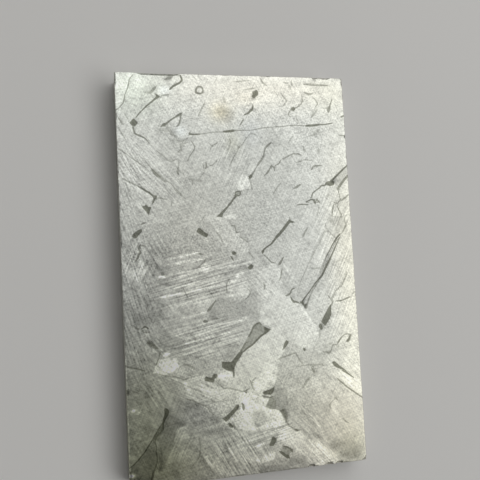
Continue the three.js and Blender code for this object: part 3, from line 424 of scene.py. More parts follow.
        (0.49, [(0, 15.35, 0.07), (0.5, 15.4, 0.11), (1.3, 15.5, 0.07)]),
        (0.35, [(0.9, 14.7, 0.07), (1.4, 14.8)]),
        (0.53, [(1.3, 11.05, 0.1), (1.6, 11)]),
        (0.48, [(4.35, 15.4, 0.13), (4.6, 15.35)]),
        (0.5, [(7.7, 13.25, 0.09), (8.05, 13.3)]),
        (0.18, [(6.6, 15.55, 0.06), (7.1, 15.6)]),
        (0.46, [(6.3, 10.9, 0.11), (6.7, 10.95)]),
        (0.6, [(-5.58, 15.38, 0.06), (-5.24, 15.49, 0.24), (-4.9, 15.71, 0.12)]),
        (0.5, [(-5.72, 8.92, 0.08), (-5.29, 8.8, 0.13), (-4.92, 8.98, 0.08)]),
        (0.5, [(-4.77, 9.54, 0.08), (-4.51, 9.73, 0.13), (-4.56, 10.11, 0.11), (-4.36, 10.29, 0.08)]),
        (0.45, [(-4.74, 8.86, 0.08), (-4.82, 8.3, 0.14), (-4.84, 7.93, 0.17)]),
        (0.45, [(-4, 7.36, 0.08), (-3.69, 7.36, 0.13), (-3.77, 6.98, 0.08)]),
        (0.45, [(-5.34, 10.42, 0.08), (-4.97, 10.54, 0.12), (-4.67, 10.42), (-4.37, 10.04, 0.08)]),
        (0.6, [(-6.9, 8.19, 0.12), (-6.5, 7.7, 0.24), (-5.85, 7.2, 0.16)]),
        (0.75, [(-9.28, 12.22, 0.07), (-9.14, 12, 0.12), (-8.99, 11.75, 0.07)]),
        (0.4, [(-6.22, 11.31, 0.1), (-5.61, 11.26, 0.16), (-5.19, 11.17, 0.13)]),
        (0.4, [(-4.73, 10.42, 0.1), (-4.3, 10.42, 0.12), (-3.97, 10.67, 0.1)]),
        (0.45, [(7.11, 13.22, 0.07), (6.65, 12.57)]),
        (0.4, [(6.87, 13.22, 0.07), (6.57, 12.73, 0.06)]),
        (0.75, [(8.98, 10.97, 0.08), (9.57, 10.89, 0.11)]),
        (0.5, [(2.88, 6.13, 0.08), (3.23, 6.57, 0.09), (3.59, 7.01, 0.08)]),
        (0.6, [(-8.69, -3.92, 0.1), (-8.58, -4.04, 0.14), (-8.4, -4.08, 0.1)]),
        (0.55, [(-2.58, -8.59, 0.07), (-2.1, -9.08, 0.1), (-1.33, -9.23), (-0.61, -9.48, 0.08)]),
        (0.35, [(-4.17, -12.66, 0.12), (-4.08, -13.42, 0.08), (-4.22, -14), (-4.9, -14.88, 0.06)]),
        (0.55, [(2.52, -7.24, 0.09), (3.35, -6.99, 0.12), (3.96, -6.84), (4.33, -7.58, 0.1),
            (4.55, -7.81, 0.08)]),
        (0.6, [(2.44, -11.25, 0.12), (2.79, -12.04, 0.11), (3.07, -12.5, 0.1), (3.65, -12.94, 0.15),
            (4.03, -12.93, 0.07)]),
    ]},
]

# Small round blots: x, y, radius in mm and how dark. They fade between these shares of the radius.
blotFade = (0.35, 1.25)
blots = [
    (-6.3, 11.13, 0.09, 0.4), (-6, 11.13, 0.09, 0.4), (-5.2, 8.56, 0.08, 0.3), (0.49, 7.9, 0.07, 0.35),
    (-3.2, 4.77, 0.08, 0.35), (1.99, 4.58, 0.08, 0.35), (7.25, 11.05, 0.08, 0.4), (6.25, 10.43, 0.08, 0.35),
    (-9.2, 2.34, 0.13, 0.4), (-7.57, -0.8, 0.08, 0.8), (5.65, 2.7, 0.12, 0.35), (-6.35, -0.05, 0.14, 0.6),
    (-7.1, -0.08, 0.1, 0.4), (-1.85, -0.46, 0.1, 0.4), (-7.55, -9.15, 0.1, 0.4), (-4.6, -7.8, 0.08, 0.45),
    (-2.4, -8.5, 0.1, 0.5), (-2.45, -8.8, 0.08, 0.4), (5.8, -6.34, 0.08, 0.4), (5.56, -8.26, 0.08, 0.4),
    (5.84, -8.2, 0.08, 0.4), (4.45, -9.6, 0.1, 0.4), (4.4, -10.5, 0.09, 0.35), (2.05, -8.26, 0.08, 0.3),
    (2.36, -8.36, 0.1, 0.3), (2.3, -13.76, 0.09, 0.4), (8.55, -13.95, 0.1, 0.35), (1.8, -10.1, 0.1, 0.6),
    (2.1, -10.45, 0.08, 0.5), (1.75, -10.75, 0.12, 0.5), (6.45, -13.85, 0.12, 0.35),
    (4.3, -13.15, 0.08, 0.35), (-7.95, 12.65, 0.08, 0.4), (-0.95, 12.65, 0.1, 0.5),
    (-0.65, 12.1, 0.08, 0.4), (-1.3, 12.6, 0.08, 0.4), (-1.05, 13.15, 0.08, 0.5), (-0.6, 11.7, 0.08, 0.4),
    (5.55, 13.5, 0.15, 0.45), (7.05, 13.08, 0.1, 0.6), (7.1, 15.6, 0.12, 0.4), (7, 11.3, 0.12, 0.55),
    (6.72, 11.15, 0.1, 0.55), (6.7, 10.95, 0.08, 0.45), (3.9, 9, 0.1, 0.45), (5.4, 8.8, 0.1, 0.4),
    (6.6, 8.35, 0.12, 0.45), (-4, 7.5, 0.08, 0.3), (-3.75, 7.2, 0.08, 0.45), (-6.9, 5.65, 0.12, 0.7),
    (-5.8, 4.9, 0.09, 0.4), (-4.5, 2, 0.09, 0.4), (-2.25, 2.2, 0.09, 0.6), (-1.95, 2.5, 0.07, 0.5),
    (-2.4, 2.45, 0.07, 0.4), (-0.55, 1.2, 0.08, 0.7), (8.5, 6.4, 0.15, 0.85), (7.7, 3.75, 0.15, 0.55),
    (7.5, 5.85, 0.1, 0.5), (-6.65, -0.7, 0.13, 0.55), (-6.2, -0.85, 0.09, 0.4), (-7.15, -0.5, 0.09, 0.4),
    (-7.2, -2.55, 0.1, 0.4), (-6.85, -2.25, 0.1, 0.4), (-6.65, -1.92, 0.09, 0.35), (-7, -1.1, 0.08, 0.35),
    (-6.88, -5.9, 0.08, 0.7), (-5.35, -6.1, 0.08, 0.35), (-1.2, -0.7, 0.09, 0.55),
    (-0.95, -2.5, 0.11, 0.55), (-1.05, -3.3, 0.09, 0.4), (0.7, -3.45, 0.09, 0.4), (0.4, -2.7, 0.09, 0.4),
    (-1.8, -3.9, 0.08, 0.35), (3.62, -2.18, 0.11, 0.6), (4.5, -6.75, 0.11, 0.35), (7.65, -6.25, 0.1, 0.7),
    (7.65, -6.62, 0.11, 0.7), (6.95, -6.35, 0.12, 0.75), (6.75, -7.05, 0.13, 0.6), (-3, -10.05, 0.15, 0.5),
    (2.65, -11.25, 0.17, 0.9), (5.15, -8.75, 0.09, 0.5), (4.8, -9.6, 0.09, 0.35), (7.65, -13.2, 0.1, 0.3),
    (6.3, -13.85, 0.15, 0.4), (5.3, -8.3, 0.1, 0.5), (5.45, -8.56, 0.1, 0.55), (5.66, -8.45, 0.08, 0.45),
    (5.6, -8.75, 0.08, 0.4), (-2.93, -3, 0.1, 0.9), (6.6, -6.6, 0.1, 0.35), (7.3, -6.5, 0.1, 0.35),
    (7.62, 5.86, 0.14, 0.4), (8.47, 6.45, 0.14, 0.7), (-6.15, 11.65, 0.1, 0.5), (-5.75, 11.7, 0.14, 0.9),
    (1.62, 14, 0.12, 0.5), (2.12, 14.75, 0.1, 0.5), (4.98, 13.16, 0.19, 1), (6.75, 11, 0.11, 0.5),
    (7.66, 5.85, 0.2, 0.4), (7.76, 3.72, 0.2, 0.4), (6.74, 11.08, 0.19, 0.5), (7.05, 11.27, 0.19, 0.4),
    (7, 9.62, 0.2, 0.4), (5.75, 9.68, 0.19, 0.35), (7.22, -7.98, 0.19, 0.5),
]

# Crystals that the acid left paler or duller: tone, how soft their border is and their outline, in mm.
crystals = [
    (0.11, 0.04, [(0.2, 7.65), (0.5, 7.72), (0.85, 7.47), (0.97, 7.2), (0.98, 6.8), (1, 6.5), (0.1, 6.42),
        (-0.12, 6.5), (0, 6.9), (0, 7.1)]),
    (0.05, 0.09, [(-8.06, 15.9), (-8.4, 15.03), (-8.74, 14.08), (-8.9, 13.4), (-9.6, 12.8), (-9.6, 15.9)]),
    (0.09, 0.08, [(1.05, -0.9), (1.05, -4.2), (2.05, -4.83), (-0.1, -6.3), (-0.6, -6.9), (-1.1, -7.5),
        (-1.15, -8.2), (-0.3, -8.4), (0.35, -8.75), (0.2, -9.3), (1, -9.65), (2, -9.4), (2.3, -8.5),
        (2.45, -7.8), (2.6, -7.2), (3, -6.6), (3.3, -6), (4, -6.2), (4.6, -6.5), (5.3, -6.6), (5.9, -6.1),
        (6.1, -5.3), (5.6, -4.6), (5.05, -3.5), (4.65, -2.95), (4.1, -2.75), (3.7, -2.2), (3.2, -1.3),
        (3.1, 0), (2.4, 0.4), (1.3, -0.2)]),
    (0.08, 0.07, [(0.3, -9.3), (0.3, -9), (0.6, -8.4), (1.2, -8.1), (2, -8), (2.4, -7.6), (2.3, -8.2),
        (2.1, -9), (1.8, -9.3), (1, -9.7), (0.6, -9.6)]),
    (0.25, 0.05, [(-7, -6.5), (-6.2, -6.5), (-6, -6.6), (-5.7, -6.45), (-5.55, -6.7), (-5.5, -7.2),
        (-6, -7.55), (-6.4, -7.6), (-6.6, -7.76), (-6.9, -7.66), (-7.42, -7.46), (-7.2, -6.9)]),
    (0.1, 0.08, [(-5.15, -8.3), (-4.2, -7.8), (-3.5, -8.1), (-2.5, -8.1), (-2, -7.7), (-1.2, -8),
        (-0.3, -8.4), (0.3, -8.8), (0.3, -9.4), (1.05, -9.7), (1.1, -10.1), (1.5, -10.4), (1.3, -10.8),
        (2, -11.15), (2.6, -11.6), (2.8, -12.1), (2.75, -12.5), (1.5, -12.5), (0.3, -12.6), (-0.9, -12.4),
        (-1.4, -12.2), (-1.9, -11.6), (-2.3, -11.4), (-2.9, -11.2), (-3.4, -10.6), (-4.1, -10),
        (-4.7, -9.7), (-5, -9.4)]),
    (0.11, 0.2, [(-2.5, -7.95), (-1.9, -7.75), (-1.3, -8.1), (-1.6, -8.6), (-2.3, -8.4)]),
    (0.01, 0.15, [(-5.1, -8.4), (-4.85, -8.3), (-4.4, -8.7), (-4.6, -9.3), (-5, -9.2)]),
    (0.1, 0.06, [(-1.7, -11.6), (-1, -11), (-0.5, -10.95), (0.5, -10.95), (1.3, -11.05), (2.1, -11.1),
        (2.5, -11.5), (2.75, -12), (2.7, -12.42), (1.5, -12.52), (0.3, -12.62), (-0.5, -12.5),
        (-0.9, -12.3), (-1.2, -11.9)]),
    (0.15, 0.06, [(3, -12.9), (3.3, -12.95), (3.9, -13.1), (4.6, -13.7), (5.4, -14), (6, -14.5), (6.7, -15),
        (7.1, -15.5), (7.35, -16), (5.5, -16), (4.8, -15.5), (4.2, -15), (3.4, -14.5), (2.9, -14),
        (2.1, -13.4), (2.2, -12.9)]),
    (0.03, 0.12, [(-5.55, -11.8), (-5.15, -11.65), (-4.98, -12), (-4.95, -12.6), (-5.3, -13), (-5.8, -13.4),
        (-6.4, -13.6), (-6.15, -12.6), (-5.95, -12)]),
    (0.05, 0.25, [(-6.3, -13.2), (-5.2, -13), (-4.6, -14), (-5, -15.2), (-7, -15.6), (-7.1, -14.6),
        (-6.6, -13.7)]),
    (0.1, 0.1, [(-8.1, 1.4), (-8.5, 0.5), (-8.8, 0.2), (-8.3, -0.6), (-7.9, -0.3), (-7.7, 0.4)]),
    (0.08, 0.05, [(-1.35, -0.9), (-1.1, -0.75), (-0.65, -0.7), (-0.55, -0.3), (-0.3, -0.1), (0, -0.05),
        (0.3, -0.9), (0.5, -1.7), (0.3, -2.1), (0, -2.3), (-0.5, -2.4), (-1.2, -2), (-1.35, -1.5)]),
    (0.17, 0.09, [(-3.6, 0.25), (-3, 0.72), (-2.6, 0.4), (-3, -0.1)]),
    (0.11, 0.08, [(-1.45, 4.42), (-0.35, 4.5), (-0.3, 4.15), (-1.2, 4.1)]),
    (0.06, 0.09, [(6.72, -10.95), (7.1, -10.88), (7.2, -11.3), (7.35, -12), (6.95, -11.9), (6.68, -11.4)]),
    (-0.06, 0.35, [(2.7, -7.2), (5, -6.7), (6.95, -7.1), (6.3, -8.2), (5.2, -9), (4.6, -9.5), (6.3, -11.6),
        (6.2, -13.6), (5.6, -13.9), (4.3, -13.4), (3, -12.2), (2.1, -10.9), (1.6, -10), (2.4, -8.6)]),
    (-0.11, 0.08, [(-6.9, -4.2), (-6.3, -4.3), (-5.6, -4.9), (-5.1, -5.3), (-5, -5.5), (-6.2, -5.7),
        (-6.9, -5.6)]),
    (-0.14, 0.1, [(-6.8, -10.9), (-6.3, -10.7), (-5, -11.4), (-5.2, -11.7), (-5.6, -11.72), (-5.95, -12.1),
        (-6.1, -12.6), (-6.3, -13.1), (-6.6, -13.9), (-6.9, -14.6), (-7.3, -14.9), (-7.4, -13.5),
        (-7.2, -12.4), (-6.9, -11.6)]),
    (-0.07, 0.14, [(-5, -9.75), (-4.2, -10.2), (-3.4, -10.8), (-2.6, -11.3), (-2.9, -11.9), (-3.8, -11.2),
        (-5.2, -10.4)]),
    (-0.18, 0.14, [(0.4, -15.3), (2.6, -15.5), (3.2, -15), (4.2, -15.3), (4.6, -16), (0.6, -16)]),
    (-0.1, 0.3, [(6.2, -14.3), (7, -14.9), (7.6, -15.6), (8.8, -15.7), (9.1, -15), (8.3, -14.2),
        (7.2, -14)]),
    (-0.05, 0.25, [(-7.2, 2.4), (-6.2, 2), (-5.9, 0.3), (-6.3, -0.6), (-7.4, -0.3), (-7.5, 1)]),
    (-0.04, 0.5, [(-9.6, -2), (-7.4, -2), (-7.2, -6), (-7.8, -9.5), (-9.6, -9.8)]),
    (0.45, 0.05, [(-6.62, -6.25), (-6.4, -5.98), (-6.08, -6.14), (-6.2, -6.27), (-6.5, -6.36)]),
    (0.08, 0.06, [(-2.9, 4.4), (-2.4, 3.7), (-2.1, 3.2), (-1.9, 2.9), (-1.7, 2.65), (-1.5, 2.4), (-1.4, 2),
        (-0.9, 1.6), (-0.5, 1.25), (0.2, 1.35), (0.5, 1.5), (0.55, 1.8), (0.5, 2.3), (0.15, 2.45),
        (-0.15, 2.65), (-0.5, 3), (-0.6, 3.2), (-0.85, 3.5), (-1.1, 3.85), (-1.35, 4.15), (-1.6, 4.4),
        (-2.2, 4.55)]),
    (-0.05, 0.1, [(-1.2, 4.1), (-0.4, 4.05), (0.05, 3.6), (-0.15, 3.05), (-0.5, 3), (-0.8, 3.5)]),
    (-0.08, 0.1, [(7.7, 4.1), (8.6, 4), (8.9, 3.8), (9, 3.3), (8.7, 2.9), (8.4, 2.7), (7.9, 2.4),
        (7.5, 2.9), (7.2, 3.2), (7.4, 3.7)]),
    (-0.17, 0.08, [(7.9, 7.05), (8.4, 7.5), (8.55, 7.2), (8.2, 6.8)]),
    (-0.08, 0.1, [(-5.8, 15.45), (-5.1, 15.78), (-4.88, 15.6), (-5.1, 15.3), (-5.12, 14.6), (-5.35, 14.9),
        (-5.45, 15.2)]),
    (-0.11, 0.2, [(-1.6, 13.1), (-0.5, 13.2), (-0.1, 12.7), (-0.3, 12.1), (-1.2, 12.2)]),
    (-0.03, 0.3, [(-6.5, 10), (-5.2, 10.6), (-4.2, 10.2), (-4.4, 9), (-5.8, 8.8)]),
    (-0.08, 0.09, [(-2.9, -3), (-2.2, -2.1), (-1.3, -2.15), (-0.9, -2.5), (-0.4, -2.5), (0, -2.3),
        (0.5, -1.9), (0.6, -1.6), (1.1, -1.7), (1.45, -1.9), (1.3, -2.8), (1.1, -3.5), (1.1, -3.9),
        (0.6, -3.9), (0.2, -3.7), (-1, -3.9), (-2, -3.95), (-2.7, -3.85), (-3, -3.5)]),
    (-0.12, 0.1, [(1.9, -9.7), (2.3, -9.4), (3, -9.6), (3.1, -10.5), (3.2, -11.3), (3, -11.9), (2.8, -11.5),
        (2.2, -11)]),
    (-0.2, 0.14, [(0.2, -11.1), (1.1, -11.2), (1.3, -11.9), (0.9, -12.3), (0.3, -12.35), (0.15, -11.7)]),
    (-0.15, 0.06, [(0.3, -12.37), (0.5, -12.1), (0.82, -12.15), (0.7, -12.37)]),
    (0.22, 0.1, [(0.2, -14.8), (1.8, -14.4), (1.7, -15), (0.3, -15.1)]),
    (0.25, 0.08, [(-3.9, -14.1), (-3.6, -14), (-3.3, -14.2), (-3.1, -14.6), (-3, -15), (-3.4, -14.9),
        (-3.7, -14.6)]),
    (0.07, 0.1, [(7.5, -9.1), (8, -8.8), (9.4, -9.5), (9.45, -10.8), (8.9, -10.4), (8.1, -9.75)]),
    (-0.16, 0.05, [(-7.5, -12.5), (-7.98, -12.8), (-8.46, -13.44), (-9.2, -14.16), (-9.5, -14.4),
        (-9.5, -15.9), (-7.9, -15.9), (-7.7, -14.8), (-7.42, -14), (-7.44, -13.1)]),
    (0.1, 0.08, [(-0.4, -9.6), (0.4, -9.8), (1.1, -10.1), (1.5, -10.3), (1.25, -10.8), (1.3, -10.97),
        (-0.4, -10.95), (-1, -10.9), (-0.6, -10.4)]),
    (-0.1, 0.05, [(8.32, 2.64), (8.05, 2.25), (7.85, 1.95), (7.6, 1.65), (7.44, 1.3), (7.14, 0.95),
        (6.92, 0.45), (6.76, 0.05), (6.58, -0.45), (6.2, -1.1), (5.65, -1.7), (5.1, -2.3), (4.65, -2.9),
        (5.02, -3.5), (5.25, -3), (5.5, -2.35), (5.95, -1.6), (6.5, -0.98), (6.8, -0.7), (7.2, 0.1),
        (7.55, 0.85), (7.9, 1.5), (8.2, 2.2), (8.5, 2.5)]),
    (-0.12, 0.05, [(-5.75, 15.45), (-5.1, 15.75), (-4.92, 15.6), (-5.1, 15.3), (-5.4, 15.2)]),
    (-0.1, 0.04, [(7.9, 7.06), (8.45, 7.6), (9.05, 8.1), (9.6, 8.56), (9.6, 7.6), (9.2, 7.3), (8.8, 6.9),
        (8.5, 6.6), (8.3, 6.7)]),
    (0.05, 0.08, [(-6.2, 14.79), (-5.94, 14.98), (-5.51, 14.99), (-5.32, 14.68), (-5.42, 14.24),
        (-5.8, 14.07), (-6.1, 14.22), (-6.27, 14.53)]),
    (0.05, 0.08, [(-4.87, 11.29), (-4.62, 11.55), (-4.12, 11.49), (-3.95, 11.17), (-4.09, 10.8),
        (-4.48, 10.52), (-4.83, 10.79), (-4.95, 11.04)]),
    (0.05, 0.1, [(-6.87, 11.9), (-6.5, 11.97), (-6.2, 11.84), (-6.33, 11.63), (-6.76, 11.53), (-7, 11.65)]),
    (0.04, 0.08, [(-3.88, -0.08), (-3.47, 0.44), (-2.95, 0.76), (-2.75, 0.25), (-3.24, -0.05)]),
    (0.07, 0.12, [(-5.69, -6.58), (-4.98, -7.25), (-4.76, -7.88), (-5.69, -7.9), (-6.54, -7.73),
        (-5.9, -7.17)]),
    (0.05, 0.08, [(6.29, -8.12), (7.01, -8.15), (7.39, -8.44), (7.93, -8.74), (8.75, -9.2), (9.67, -10.24),
        (9.6, -10.85), (8.55, -10.01), (7.48, -9.2), (6.83, -8.43)]),
]
crystalLean = (0.2, 0.3)

# Where the grinding cut deepest: centre x, y, reach along and across in mm, its turn and how strongly.
# Each patch fades between these shares of its reach.
patchFade = (0.6, 1.25)
scratchPatches = {
    "rising": [(-3.2, -0.6, 3.9, 1.7, 11, 0.9), (-3.2, -5.1, 3.4, 1.7, 11, 0.8),
               (1.2, -13.1, 2.4, 0.8, 13, 0.55), (2.6, -12.9, 1.3, 0.8, 13, 0.8),
               (-6.2, -1.5, 1.2, 2.0, 0, 0.3)],
    "upright": [(8.0, 1.0, 2.0, 7.0, 0, 0.8), (-8.2, 1.0, 1.2, 2.0, 0, 0.8),
                (-0.4, 8.5, 1.6, 2.5, 0, 0.7), (-5.9, -13.0, 0.9, 1.3, 0, 0.6)],
    "falling": [(-5.6, -8.2, 1.5, 1.0, 0, 0.5), (-3.8, -9.5, 1.6, 1.1, 0, 0.8)],
    "steep": [(-7.0, 1.4, 0.9, 1.8, -10, 0.8), (-1.2, -14.3, 2.6, 1.7, 0, 0.9),
              (-8.6, 8.4, 1.2, 1.8, 0, 0.6), (-7.4, -9.0, 1.0, 1.2, 0, 0.4)],
    "plumb": [(-8.6, -2.0, 1.6, 6.5, 0, 0.9), (-9.0, 5.5, 0.9, 5.0, 0, 0.6)],
    "slant": [(-6.7, 8.0, 2.6, 3.4, 0, 0.6), (5.4, -14.7, 2.0, 1.2, -38, 0.75),
              (4.7, -12.4, 1.3, 1.4, 0, 0.55), (7.8, -8.6, 1.8, 1.8, 0, 0.6),
              (-7.2, -5.5, 1.0, 2.2, 0, 0.45), (1.6, -0.8, 1.4, 2.2, 0, 0.4)],
}

# Where the grain is coarser than elsewhere: centre x, y, reach across and along, how much more.
coarsePatches = [
    (1, 12.9, 7, 1.6, 0.7), (-3.6, 2.1, 3.4, 1.3, 0.6), (6.2, 8.8, 1.7, 2.2, 0.6),
    (-0.4, -3, 2.2, 0.9, 0.4), (1, 4.6, 2.6, 2.4, 0.7), (-6.6, -9.8, 2, 2, -0.6),
    (2.6, -4.6, 2.2, 2.4, -0.5), (0.4, -7.2, 1.4, 1.2, -0.6), (-7, -13.6, 2.2, 1.8, -0.4),
    (-5.4, 8.6, 1.6, 1.6, -0.2), (8, -12.5, 1.6, 2.2, -0.4), (-4.5, 2.2, 3, 1.4, 0.4),
    (-2.2, -6.8, 1.6, 0.9, 0.6), (-2.6, -11.2, 2, 1.2, 0.7), (3.5, -9.5, 2.4, 2.4, 0.4),
    (5.5, 11.2, 1.8, 1.2, 0.6),
]
